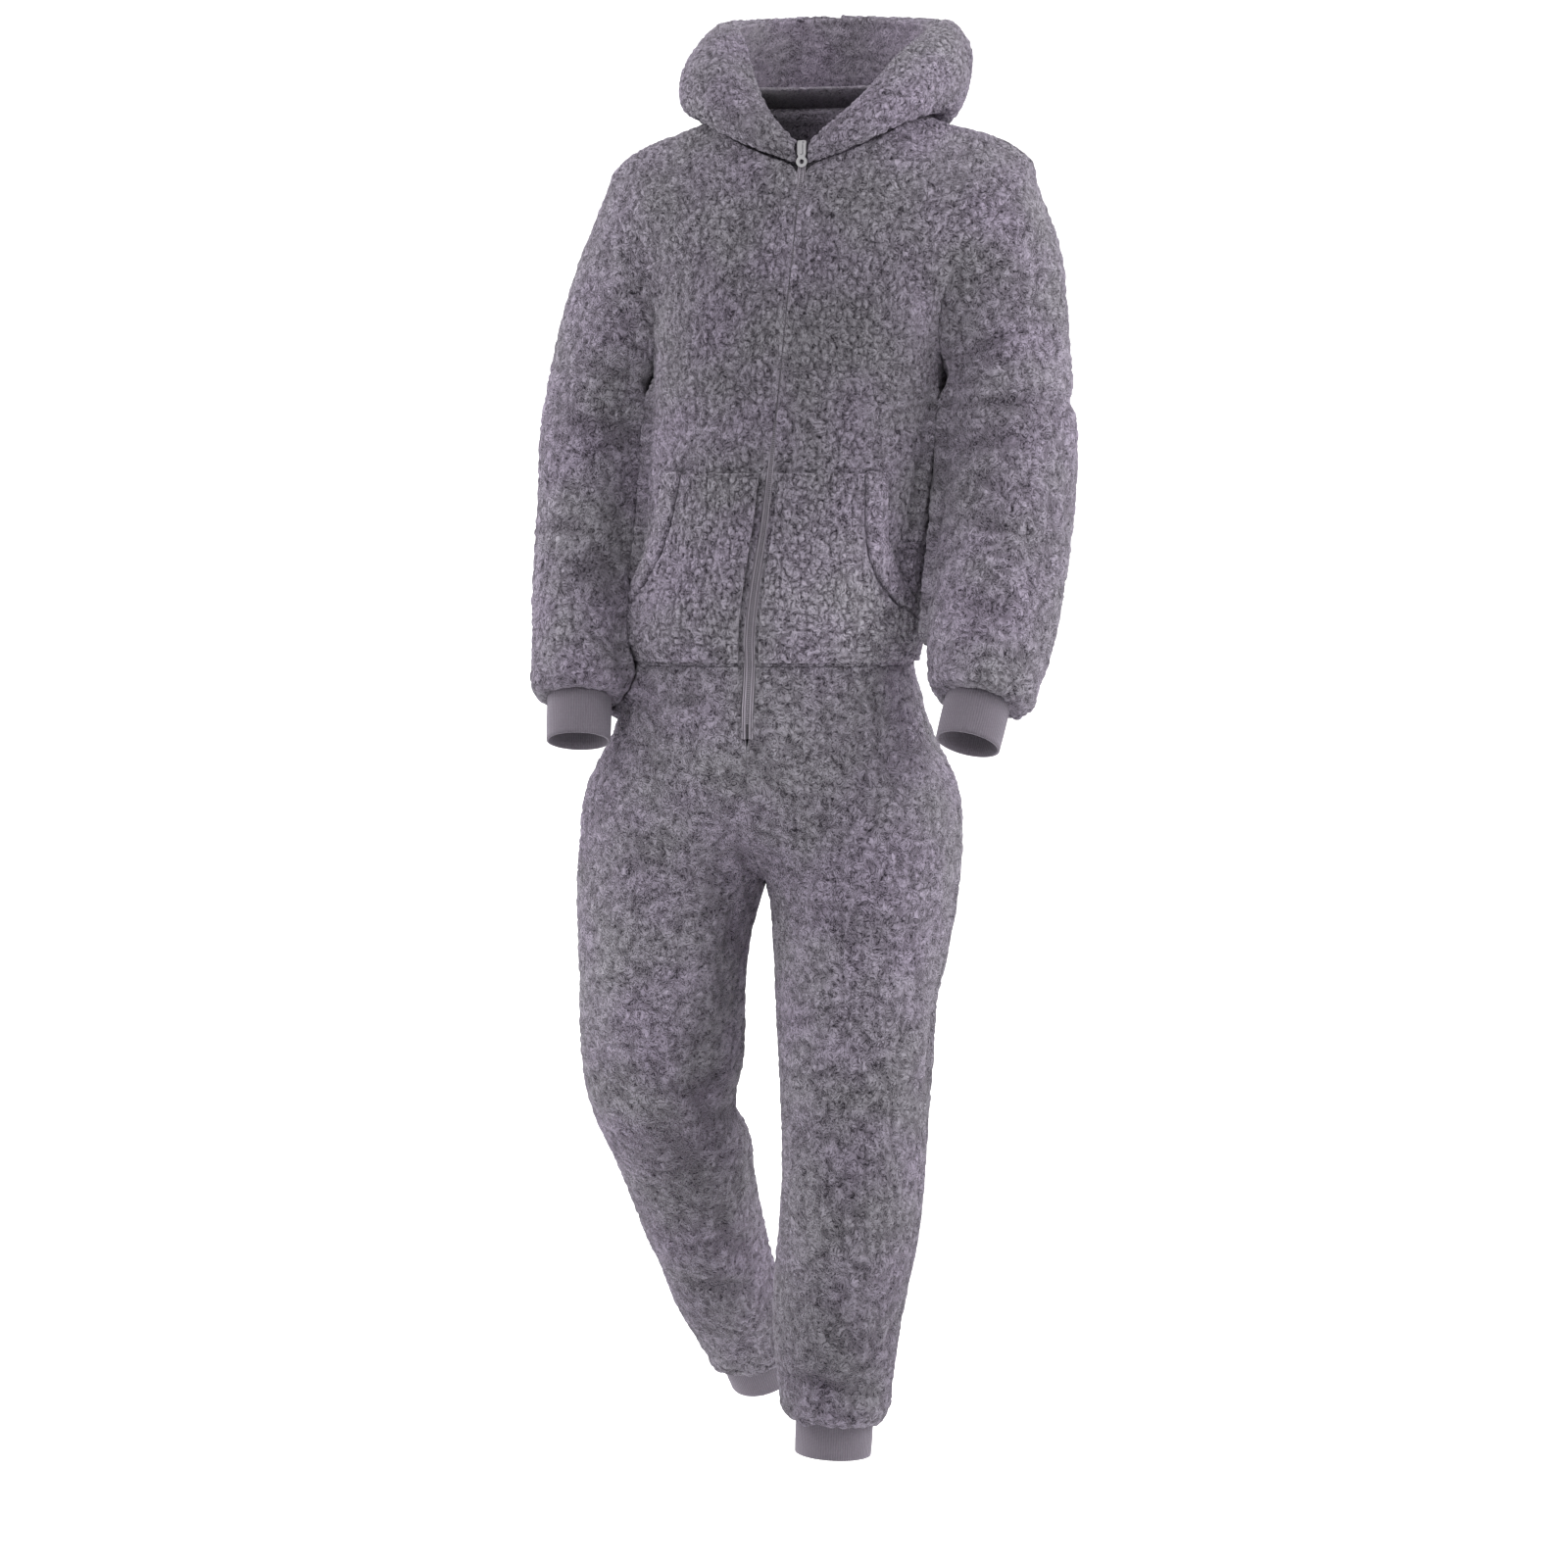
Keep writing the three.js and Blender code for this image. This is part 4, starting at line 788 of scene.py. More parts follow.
    @staticmethod
    def _trough(points: np.ndarray, crease: Crease) -> np.ndarray:
        """Give how far one crease presses points in.

        Args:
            points: places in metres.
            crease: the crease.

        Returns:
            One depth per point, in millimetres.
        """
        line = np.array(crease.points) * MM
        low, high = line.min(axis=0) - 0.04, line.max(axis=0) + 0.04
        near = np.all((points > low) & (points < high), axis=1)
        depth = np.zeros(len(points))
        if not near.any():
            return depth
        spots = points[near]
        gap = np.full(len(spots), 1.0)
        along = np.zeros(len(spots))
        for k, (start, end) in enumerate(zip(line[:-1], line[1:])):
            way = end - start
            share = np.clip((spots - start) @ way / (way @ way), 0.0, 1.0)
            reach = np.linalg.norm(spots - start - share[:, None] * way, axis=1)
            closer = reach < gap
            gap = np.where(closer, reach, gap)
            along = np.where(closer, (k + share) / (len(line) - 1), along)
        taper = 0.35 + 0.65 * np.sin(math.pi * np.clip(along, 0.04, 0.96))
        width = CREASE_WIDTH * crease.width * MM
        depth[near] = CREASE_DEPTH * crease.depth * taper * np.exp(-((gap / width) ** 2))
        return depth

    @staticmethod
    def _close(fine: Surface, inner: Surface, own: int) -> Surface:
        """Join the fine outer side and the plain inner side into one closed shell.

        Args:
            fine: the outer side.
            inner: the inner side, from the same skin.
            own: how many first points both have from the skin.

        Returns:
            The closed shell, with the outer side's points first.
        """
        shift = len(fine.points)
        faces = [list(face) for face in fine.faces]
        faces += [[k + shift for k in reversed(face)] for face in inner.faces]
        below = border_runs(inner, own)
        for ends, run in border_runs(fine, own).items():
            other = [k + shift for k in below[ends]]
            faces.extend(strip(run, other))
        return Surface(np.vstack([fine.points, inner.points]), faces)


class Nodes:
    """Small helper that adds shader nodes to a tree and joins them."""

    def __init__(self, tree: bpy.types.NodeTree) -> None:
        """Keep the tree that nodes are added to."""
        self.tree = tree

    def add(self, kind: str, **settings: object) -> bpy.types.Node:
        """Add a node and set its properties.

        Args:
            kind: Blender's type name of the node.
            settings: values for the node's properties.

        Returns:
            The new node.
        """
        node = self.tree.nodes.new(kind)
        for key, value in settings.items():
            setattr(node, key, value)
        return node

    def join(self, start: bpy.types.NodeSocket, end: bpy.types.NodeSocket) -> None:
        """Link one socket to another."""
        self.tree.links.new(start, end)

    @staticmethod
    def put(node: bpy.types.Node, values: dict[str, object]) -> None:
        """Set the plain values of some of a node's inputs."""
        for name, value in values.items():
            node.inputs[name].default_value = value

    def attribute(self, name: str) -> bpy.types.NodeSocket:
        """Add a node that reads a number stored on the mesh, and give its output."""
        return self.add("ShaderNodeAttribute", attribute_name=name, attribute_type="GEOMETRY").outputs["Fac"]

    def noise(self, place: bpy.types.NodeSocket, scale: float, detail: float = 2.0, roughness: float = 0.5,
              distortion: float = 0.0) -> bpy.types.Node:
        """Add a noise texture.

        Args:
            place: socket of the place it is read at.
            scale: how fine it is.
            detail: how many finer noises are on it.
            roughness: how strong the finer ones are.
            distortion: how much it is bent.

        Returns:
            The texture node.
        """
        node = self.add("ShaderNodeTexNoise", noise_dimensions="3D")
        self.put(node, {"Scale": scale, "Detail": detail, "Roughness": roughness, "Distortion": distortion})
        self.join(place, node.inputs["Vector"])
        return node

    def bump(
        self, shader: bpy.types.Node, height: bpy.types.NodeSocket, strength: float, distance: float
    ) -> None:
        """Raise the surface that a shader shows.

        Args:
            shader: the shader whose normal is bent.
            height: socket of the height.
            strength: how strongly it shows.
            distance: how high 1 is, in metres.
        """
        node = self.add("ShaderNodeBump")
        self.put(node, {"Strength": strength, "Distance": distance})
        self.join(height, node.inputs["Height"])
        self.join(node.outputs["Normal"], shader.inputs["Normal"])

    def maths(
        self, operation: str, first: object, second: object = 0.0, third: object = 0.0
    ) -> bpy.types.NodeSocket:
        """Add a Math node; each input is a number or a socket.

        Args:
            operation: name of the operation.
            first: first input.
            second: second input.
            third: third input.

        Returns:
            The node's output.
        """
        node = self.add("ShaderNodeMath", operation=operation)
        for socket, value in zip(node.inputs, (first, second, third)):
            if isinstance(value, bpy.types.NodeSocket):
                self.join(value, socket)
            else:
                socket.default_value = value
        return node.outputs[0]

    def span(
        self, value: bpy.types.NodeSocket, low: float, high: float, to_low: float, to_high: float
    ) -> bpy.types.NodeSocket:
        """Map a value smoothly from one range to another.

        Args:
            value: the value's socket.
            low: start of the range it comes from.
            high: end of that range.
            to_low: result at the start.
            to_high: result at the end.

        Returns:
            The result's socket.
        """
        node = self.add("ShaderNodeMapRange", interpolation_type="SMOOTHSTEP")
        self.join(value, node.inputs["Value"])
        self.put(node, {"From Min": low, "From Max": high, "To Min": to_low, "To Max": to_high})
        return node.outputs["Result"]

    def blend(
        self, share: object, first: object, second: object, mode: str = "MIX"
    ) -> bpy.types.NodeSocket:
        """Mix two colours; each input is a value or a socket.

        Args:
            share: how much of the second colour shows.
            first: first colour.
            second: second colour.
            mode: how they are mixed.

        Returns:
            The mixed colour's socket.
        """
        node = self.add("ShaderNodeMix", data_type="RGBA", blend_type=mode)
        for socket, value in zip((node.inputs[0], node.inputs[6], node.inputs[7]), (share, first, second)):
            if isinstance(value, bpy.types.NodeSocket):
                self.join(value, socket)
            else:
                socket.default_value = value
        return node.outputs[2]


def new_group(
    name: str, inputs: dict[str, float], outputs: dict[str, str]
) -> tuple[bpy.types.NodeTree, Nodes, bpy.types.Node, bpy.types.Node]:
    """Start a shader node group with named sockets.

    Args:
        name: the group's name.
        inputs: number inputs with their usual values.
        outputs: outputs with the kind of each socket.

    Returns:
        The group, its helper, and its input and output nodes.
    """
    tree = bpy.data.node_groups.new(name, "ShaderNodeTree")
    for key, value in inputs.items():
        socket = tree.interface.new_socket(key, in_out="INPUT", socket_type="NodeSocketFloat")
        socket.default_value = value
    for key, kind in outputs.items():
        tree.interface.new_socket(key, in_out="OUTPUT", socket_type=kind)
    nodes = Nodes(tree)
    return tree, nodes, nodes.add("NodeGroupInput"), nodes.add("NodeGroupOutput")


def curl_group() -> bpy.types.NodeTree:
    """Make the group of fine curls of pile: their height, and broad patches of tone."""
    tree, nodes, start, end = new_group(
        "pile_curls",
        {"Width": 5.6, "Length": 7.6, "Lean": 0.3},
        {"Height": "NodeSocketFloat", "Patch": "NodeSocketFloat"},
    )
    place = nodes.add("ShaderNodeTexCoord").outputs["Object"]
    bend = nodes.noise(place, 62.0)
    shift = nodes.add("ShaderNodeVectorMath", operation="MULTIPLY_ADD")
    shift.inputs[1].default_value = (0.016, 0.016, 0.016)
    nodes.join(bend.outputs["Color"], shift.inputs[0])
    nodes.join(place, shift.inputs[2])
    wide = nodes.maths("DIVIDE", 1000.0, start.outputs["Width"])
    long = nodes.maths("DIVIDE", 1000.0, start.outputs["Length"])
    size = nodes.add("ShaderNodeCombineXYZ")
    for socket, value in zip(size.inputs, (wide, wide, long)):
        nodes.join(value, socket)
    spot = nodes.add("ShaderNodeVectorMath", operation="MULTIPLY")
    nodes.join(shift.outputs[0], spot.inputs[0])
    nodes.join(size.outputs[0], spot.inputs[1])
    worms = nodes.noise(spot.outputs[0], 1.0, 1.0, 0.4, 1.3)
    off = nodes.maths("ABSOLUTE", nodes.maths("SUBTRACT", worms.outputs["Fac"], 0.5))
    top = nodes.span(off, 0.0, 0.07, 0.0, 1.0)
    small = nodes.noise(spot.outputs[0], 2.1, 3.0, 0.6, 0.5)
    grain = nodes.span(small.outputs["Fac"], 0.33, 0.67, 0.0, 1.0)
    height = nodes.maths("MULTIPLY_ADD", grain, start.outputs["Lean"], 0.0)
    rest = nodes.maths("SUBTRACT", 1.0, start.outputs["Lean"])
    height = nodes.maths("MULTIPLY_ADD", top, rest, height)
    nodes.join(height, end.inputs["Height"])
    patch = nodes.noise(place, 11.0)
    nodes.join(nodes.span(patch.outputs["Fac"], 0.3, 0.7, 0.0, 1.0), end.inputs["Patch"])
    return tree


@dataclass(frozen=True)
class FleeceFinish:
    """Long curly pile: its colour runs with the pile's height from dark between its curls, painted shade, to
    pale at their tips, painted light.
    """

    name: str
    deep: Colour
    middle: Colour
    tip: Colour
    curl_width: float = 5.2
    curl_length: float = 6.0
    relief: float = 0.0036
    sheen: float = 0.4
    clump_share: float = 0.36

    def make(self, curls: bpy.types.NodeTree) -> bpy.types.Material:
        """Make the material.

        Args:
            curls: the group that gives the curls' height.

        Returns:
            The finished material.
        """
        material, nodes, shader = new_material(self.name)
        group = nodes.add("ShaderNodeGroup")
        group.node_tree = curls
        nodes.put(group, {"Width": self.curl_width, "Length": self.curl_length})
        clump = nodes.span(nodes.attribute("pile"), 0.05, 0.85, 0.0, 1.0)
        curls_share = nodes.maths("MULTIPLY", group.outputs["Height"], 1.0 - self.clump_share)
        height = nodes.maths("MULTIPLY_ADD", clump, self.clump_share, curls_share)
        # Colour by height in the pile: dark low down is painted shade, pale tips are painted light
        ramp = nodes.add("ShaderNodeValToRGB")
        ramp.color_ramp.elements[0].position = 0.1
        ramp.color_ramp.elements[0].color = self.deep
        ramp.color_ramp.elements[1].position = 0.92
        ramp.color_ramp.elements[1].color = self.tip
        middle = ramp.color_ramp.elements.new(0.5)
        middle.color = self.middle
        nodes.join(height, ramp.inputs["Fac"])
        tone = nodes.blend(group.outputs["Patch"], (0.95, 0.985, 0.94, 1.0), (1.05, 1.0, 1.09, 1.0))
        colour = nodes.blend(1.0, ramp.outputs["Color"], tone, "MULTIPLY")
        # Darken or pale the colour by the patches: nap tone with painted shade and painted light
        colour = nodes.blend(1.0, colour, nodes.attribute("brushed"), "MULTIPLY")
        nodes.join(colour, shader.inputs["Base Color"])
        nodes.bump(shader, group.outputs["Height"], 0.9, self.relief)
        nodes.put(shader, {"Roughness": 0.95, "Specular IOR Level": 0.12, "Sheen Weight": self.sheen,
                           "Sheen Roughness": 0.26, "Sheen Tint": srgb(226, 218, 232)})
        return material


def new_material(name: str) -> tuple[bpy.types.Material, Nodes, bpy.types.Node]:
    """Start a material.

    Args:
        name: the material's name.

    Returns:
        The material, its node helper and its shader.
    """
    material = bpy.data.materials.new(name)
    material.use_nodes = True
    nodes = Nodes(material.node_tree)
    return material, nodes, material.node_tree.nodes["Principled BSDF"]


@dataclass(frozen=True)
class KnitFinish:
    """Fine rib knit: narrow upright ribs with small stitches across them."""

    name: str
    low: Colour
    high: Colour
    rib: float = 2.6
    stitch: float = 1.5

    def make(self) -> bpy.types.Material:
        """Make the material and give it back."""
        material, nodes, shader = new_material(self.name)
        place = nodes.add("ShaderNodeTexCoord").outputs["Object"]
        axes = nodes.add("ShaderNodeSeparateXYZ")
        nodes.join(place, axes.inputs[0])
        wobble = nodes.noise(place, 90.0)
        across = nodes.maths("MULTIPLY_ADD", wobble.outputs["Fac"], 1.6, nodes.attribute("around"))
        ribs = nodes.maths("SINE", nodes.maths("MULTIPLY", across, 2.0 * math.pi / self.rib))
        rows = nodes.maths("SINE", nodes.maths("MULTIPLY", axes.outputs["Z"], 2000.0 * math.pi / self.stitch))
        height = nodes.maths("MULTIPLY_ADD", rows, 0.16, nodes.maths("MULTIPLY", ribs, 0.34))
        height = nodes.maths("ADD", height, 0.5)
        fuzz = nodes.noise(place, 420.0, 3.0)
        share = nodes.maths("MULTIPLY_ADD", fuzz.outputs["Fac"], 0.5, nodes.maths("MULTIPLY", height, 0.5))
        nodes.join(nodes.blend(share, self.low, self.high), shader.inputs["Base Color"])
        nodes.bump(shader, nodes.maths("MULTIPLY_ADD", fuzz.outputs["Fac"], 0.5, height), 0.6, 0.0011)
        nodes.put(shader, {"Roughness": 0.92, "Specular IOR Level": 0.14, "Sheen Weight": 0.4,
                           "Sheen Roughness": 0.45, "Sheen Tint": srgb(222, 214, 228)})
        return material


@dataclass(frozen=True)
class TapeFinish:
    """Woven zip tape: fine slanting weave, paler where the tape's ribs stand higher."""

    name: str
    low: Colour
    high: Colour

    def make(self) -> bpy.types.Material:
        """Make the material and give it back."""
        material, nodes, shader = new_material(self.name)
        place = nodes.add("ShaderNodeTexCoord").outputs["Object"]
        weave = nodes.add("ShaderNodeTexWave", wave_type="BANDS", bands_direction="DIAGONAL")
        nodes.put(weave, {"Scale": 260.0, "Distortion": 1.2, "Detail": 2.0})
        nodes.join(place, weave.inputs["Vector"])
        fuzz = nodes.noise(place, 240.0)
        woven = nodes.maths("MULTIPLY", weave.outputs["Fac"], 0.2)
        share = nodes.maths("MULTIPLY_ADD", fuzz.outputs["Fac"], 0.25, woven)
        share = nodes.maths("MULTIPLY_ADD", nodes.attribute("rib"), 0.75, nodes.maths("SUBTRACT", share, 0.2))
        nodes.join(nodes.blend(share, self.low, self.high), shader.inputs["Base Color"])
        nodes.bump(shader, weave.outputs["Fac"], 0.5, 0.0006)
        nodes.put(shader, {"Roughness": 0.8, "Sheen Weight": 0.3})
        return material


@dataclass(frozen=True)
class MetalFinish:
    """Dull plated metal with worn edges."""

    name: str
    base: Colour
    worn: Colour
    roughness: float = 0.36

    def make(self) -> bpy.types.Material:
        """Make the material and give it back."""
        material, nodes, shader = new_material(self.name)
        place = nodes.add("ShaderNodeTexCoord").outputs["Object"]
        marks = nodes.noise(place, 520.0, 4.0)
        edge = nodes.add("ShaderNodeNewGeometry").outputs["Pointiness"]
        worn = nodes.span(edge, 0.5, 0.56, 0.0, 1.0)
        nodes.join(nodes.blend(worn, self.base, self.worn), shader.inputs["Base Color"])
        rough = nodes.span(marks.outputs["Fac"], 0.3, 0.7, self.roughness - 0.07, self.roughness + 0.1)
        nodes.join(rough, shader.inputs["Roughness"])
        nodes.bump(shader, marks.outputs["Fac"], 0.12, 0.0002)
        shader.inputs["Metallic"].default_value = 1.0
        return material


@dataclass
class Palette:
    """All finishes of the garment."""

    fleece: bpy.types.Material = field(init=False)
    lining: bpy.types.Material = field(init=False)
    knit: bpy.types.Material = field(init=False)
    tape: bpy.types.Material = field(init=False)
    metal: bpy.types.Material = field(init=False)

    def __post_init__(self) -> None:
        """Make each material once."""
        curls = curl_group()
        self.fleece = FleeceFinish(
            "curly_fleece", srgb(42, 38, 45), srgb(106, 100, 109), srgb(152, 146, 157)
        ).make(curls)
        self.lining = FleeceFinish(
            "lining_fleece", srgb(76, 70, 78), srgb(126, 120, 129), srgb(164, 157, 168), 3.8, 5.0, 0.0018
        ).make(curls)
        self.knit = KnitFinish("rib_knit", srgb(84, 79, 87), srgb(116, 110, 119)).make()
        self.tape = TapeFinish("woven_tape", srgb(58, 54, 61), srgb(158, 151, 162)).make()
        self.metal = MetalFinish("nickel", srgb(138, 136, 141), srgb(196, 194, 197)).make()


class ZipLine:
    """The line of the zip, read from the two tape nodes."""

    def __init__(self) -> None:
        """Read the front edge points of both tapes, row by row from below."""
        self.rows: dict[Side, np.ndarray] = {}
        for side in Side:
            mesh = bmesh.new()
            mesh.from_mesh(FRAME["nodes"]["zip_tape_" + side.word].data)
            bmesh.ops.remove_doubles(mesh, verts=mesh.verts, dist=NodeSkin.WELD)
            spots = sorted((tuple(v.co) for v in mesh.verts), key=lambda p: p[2])
            mesh.free()
            rows = [sorted(spots[k : k + 4], key=lambda p: p[1])[:2] for k in range(0, len(spots) - 3, 4)]
            rows = [sorted(pair, key=lambda p: p[0] * side.value) for pair in rows]
            self.rows[side] = np.array(rows)
        inner_left, inner_right = self.rows[Side.LEFT][:, 0], self.rows[Side.RIGHT][:, 0]
        self.middle = (inner_left + inner_right) / 2.0

    def at(self, height: np.ndarray, line: np.ndarray) -> np.ndarray:
        """Give the points of a line of rows at the heights asked for, straight on past its ends."""
        level = [np.interp(height, line[:, 2], line[:, axis]) for axis in range(2)]
        return np.stack([*level, height], axis=-1)

    def closing(self, side: Side) -> Callable[[np.ndarray], np.ndarray]:
        """Give how a front's pile leans over the zip, most of all at the chest.

        Args:
            side: the front's side.

        Returns:
            Function from points to their shifts, in metres.
        """

        def shift(points: np.ndarray) -> np.ndarray:
            """Give the shift of each point.

            Args:
                points: places in metres.

            Returns:
                One shift per row, in metres.
            """
            middle = np.interp(points[:, 2], self.middle[:, 2], self.middle[:, 0])
            gap = (points[:, 0] - middle) * side.value / MM
            height = points[:, 2] / MM
            hidden = smooth((height + 455.0) / 60.0) * smooth((4.0 - height) / 26.0)
            reach = 2.0 * (1.0 - hidden) + 3.4 * hidden
            near = (gap > 0.0) & (gap < 30.0) & (height > -560.0)
            close = np.where(near, smooth(1.0 - (gap - 4.0) / 16.0), 0.0)
            moved = np.zeros_like(points)
            moved[:, 0] = -side.value * close * np.minimum(reach, np.maximum(gap - 0.7, 0.0)) * MM
            return moved

        return shift


@dataclass
class Assembly:
    """Pieces of cloth that are sewn together, and the finishes they are dressed in."""

    palette: Palette

    def _add(self, node: str, cut: Cut, finish: bpy.types.Material, slot: str = "fleece",
             **more: object) -> None:
        """Build one piece.

        Args:
            node: the CAD node that it stands for.
            cut: its flat size and thickness.
            finish: its material.
            slot: name of a material slot, which the piece doesn't use.
            more: further fields of the piece.
        """
        Cloth(node + "_cloth", node, cut, finish, slot, **more).build()


@dataclass
class Jacket(Assembly):
    """The upper body: two fronts, the back, sleeves with cuffs, and pockets."""

    zip_line: ZipLine = field(kw_only=True)
    front: Cut = Cut(0.29, 0.64, 0.135, 6.0)
    back: Cut = Cut(0.56, 0.68, 0.27, 6.0)
    sleeve: Cut = Cut(0.5, 0.56, 0.21, 6.0)
    cuff: Cut = Cut(0.23, 0.052, 0.0118, 2.6)
    pocket: Cut = Cut(0.2, 0.18, 0.031, 4.0)
    band: Cut = Cut(0.03, 0.24, 0.0066, 5.0)

    def build(self) -> None:
        """Build every piece of the upper body."""
        fleece = self.palette.fleece
        for side in Side:
            word = side.word
            front, sleeve, band = "front_" + word, "sleeve_" + word, "pocket_band_" + word
            hips = ("leg_front_" + word, "leg_back_" + word)
            self._add(front, self.front, fleece, nap=Nap(clump=FINE_CLUMP), levels=4,
                      rests_on=("hood_" + word,), shape=self.zip_line.closing(side), grows_to=(sleeve,),
                      groove_by=band)
            self._add(sleeve, self.sleeve, fleece, nap=Nap(), rests_on=(front, "back"),
                      grows_to=(front, "back", *hips, band), gathers=5.5, tube=True, overlap=2.6)
            self._add("cuff_" + word, self.cuff, self.palette.knit, "rib_knit", levels=2,
                      held="gathered", rests_on=(sleeve,))
            self._add("pocket_" + word, self.pocket, fleece,
                      nap=Nap(clump=FINE_CLUMP, edge_lift=0.4), levels=4, rests_on=(front,), groove_by=band)
            self._add(band, self.band, fleece,
                      nap=Nap(clump=(7.0, 7.0, 9.0), edge_lift=0.0), rests_on=(front,), raised=2.4,
                      keep_rims=True, paler=1.12)
        self._add("back", self.back, fleece, nap=Nap(), overlap=2.0,
                  rests_on=("front_left", "front_right"), grows_to=("sleeve_left", "sleeve_right"))


@dataclass
class Trousers(Assembly):
    """The lower body: four leg pieces and two ankle cuffs."""

    leg: Cut = Cut(0.36, 0.84, 0.225, 6.0)
    cuff: Cut = Cut(0.28, 0.042, 0.0115, 2.6)

    def build(self) -> None:
        """Build every piece of the lower body."""
        for side in Side:
            word = side.word
            for half in ("leg_front_", "leg_back_"):
                self._add(half + word, self.leg, self.palette.fleece, nap=Nap(),
                          rests_on=("front_" + word,), grows_to=("sleeve_" + word,), gathers=4.5)
            self._add("ankle_cuff_" + word, self.cuff, self.palette.knit, "rib_knit", levels=2,
                      held="gathered", rests_on=("leg_front_" + word,))


@dataclass
class Hood(Assembly):
    """The hood, lying down: two shell halves and the lining."""

    shell: Cut = Cut(0.3, 0.42, 0.09, 3.0)
    inside: Cut = Cut(0.5, 0.3, 0.09, 2.0)

    def build(self) -> None:
        """Build the hood's pieces."""
        for side in Side:
            self._add("hood_" + side.word, self.shell, self.palette.fleece, levels=4,
                      nap=Nap(clump=(8.0, 8.0, 10.0), at_edge=0.7, edge_lift=0.9),
                      rests_on=("back", "front_" + side.word))
        self._add("hood_lining", self.inside, self.palette.lining, "hood_lining",
                  nap=Nap(clump=(9.0, 9.0, 9.0), high=1.0, low=-0.8), facing_in=True,
                  rests_on=("hood_left", "hood_right"))


@dataclass
class Zip:
    """The zip: ribbed tapes, the coil between them, and dressed metal parts."""

    palette: Palette
    line: ZipLine
    tape: Cut = Cut(0.0102, 0.64, 0.0042, 1.2)

    # Across one tape: share of its width from the coil outwards, and height from 0 to 1
    PROFILE: ClassVar[tuple[tuple[float, float], ...]] = (
        (0.0, 0.0), (0.16, 0.0), (0.24, 0.15), (0.32, 0.9), (0.44, 1.0), (0.54, 0.85), (0.6, 0.3),
        (0.68, 0.3), (0.76, 0.95), (0.9, 1.0), (1.0, 0.2),
    )
    # Sizes in millimetres: how high the ribs stand, and how far the tapes run on below the solids
    RIB: ClassVar[float] = 1.7
    TAIL: ClassVar[float] = 11.0
    # The coil: pitch, start above the solids' lower end, height of its top, and sides of a bar
    PITCH: ClassVar[float] = 2.1
    START: ClassVar[float] = 6.0
    TOP: ClassVar[float] = -16.0
    SIDES: ClassVar[int] = 8
    # Each ring of a bar: how far out it stands and its half width, in millimetres
    RINGS: ClassVar[tuple[tuple[float, float], ...]] = ((-0.5, 0.62), (0.6, 0.78), (1.7, 0.62))

    def build(self) -> None:
        """Build the tapes and the coil, and dress the slider and the tab."""
        for side in Side:
            self._tape(side)
        self._coil()
        for node in ("zip_slider", "zip_pull_tab"):
            for place in FRAME["nodes"][node].material_slots:
                place.material = self.palette.metal

    def _tape(self, side: Side) -> None:
        """Build one tape as a thin closed strip with two long ribs.

        Args:
            side: the tape's side of the zip.
        """
        rows = self.line.rows[side]
        heights = np.linspace(rows[0, 0, 2] - self.TAIL * MM, rows[-1, 0, 2], 240)
        inner = self.line.at(heights, rows[:, 0])
        outer = self.line.at(heights, rows[:, 1])
        shares = [share for share, _ in self.PROFILE]
        fronts = [-self.RIB * height for _, height in self.PROFILE]
        points = [
            inner + (outer - inner) * share + np.array([0.0, y * MM, 0.0])
            for share, y in zip(shares + shares[::-1], fronts + [self.tape.thick] * len(shares))
        ]
        ring = len(points)
        cloud = np.stack(points, axis=1).reshape(-1, 3)
        faces = []
        for row in range(len(heights) - 1):
            for k in range(ring):
                a, b = row * ring + k, row * ring + (k + 1) % ring
                faces.append([a, b, b + ring, a + ring])
        last = (len(heights) - 1) * ring
        faces += [list(range(ring))[::-1], [last + k for k in range(ring)]]
        if side is Side.RIGHT:
            faces = [face[::-1] for face in faces]
        piece = new_piece(f"zip_tape_{side.word}_cloth", cloud, faces, self.palette.tape)
        across = [height for _, height in self.PROFILE] + [0.0] * len(shares)
        self._ribs(piece, np.tile(np.array(across), len(heights)))
        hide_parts("zip_tape_" + side.word)

    @staticmethod
    def _ribs(piece: bpy.types.Object, values: np.ndarray) -> None:
        """Store how pale the weave is at each point, and tie the piece to the garment.

        Args:
            piece: the tape or the coil.
            values: one share per point, from 0 to 1.
        """
        piece.data.attributes.new("rib", "FLOAT", "POINT").data.foreach_set("value", values)
        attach(piece, GARMENT)

    def _coil(self) -> None:
        """Build the coil's loops, a pair of slanting bars at each step down the zip."""
        bottom = self.line.middle[0, 2] + self.START * MM
        heights = np.arange(bottom, self.TOP * MM, self.PITCH * MM)
        sides = self.SIDES
        turn = np.linspace(0.0, 2.0 * math.pi, sides + 1)[:-1]
        points: list[np.ndarray] = []
        faces: list[list[int]] = []
        for spot in self.line.at(heights, self.line.middle):
            for side in Side:
                slant = 0.25 * side.value
                first = len(points) * sides
                for reach, wide in self.RINGS:
                    centre = spot + np.array([side.value * reach, -0.5, slant * reach]) * MM
                    ring = np.stack([np.zeros(sides), np.cos(turn) * wide, np.sin(turn) * wide], axis=1) * MM
                    points.append(centre + ring)
                for a in range(first, first + 2 * sides):
                    b = a + 1 if (a - first) % sides < sides - 1 else a + 1 - sides
                    faces.append([a, b, b + sides, a + sides])
                faces.append([first + k for k in range(sides)][::-1])
                faces.append([first + 2 * sides + k for k in range(sides)])
        piece = new_piece("zip_coil", np.vstack(points), faces, self.palette.tape)
        self._ribs(piece, np.full(len(piece.data.vertices), 0.85))


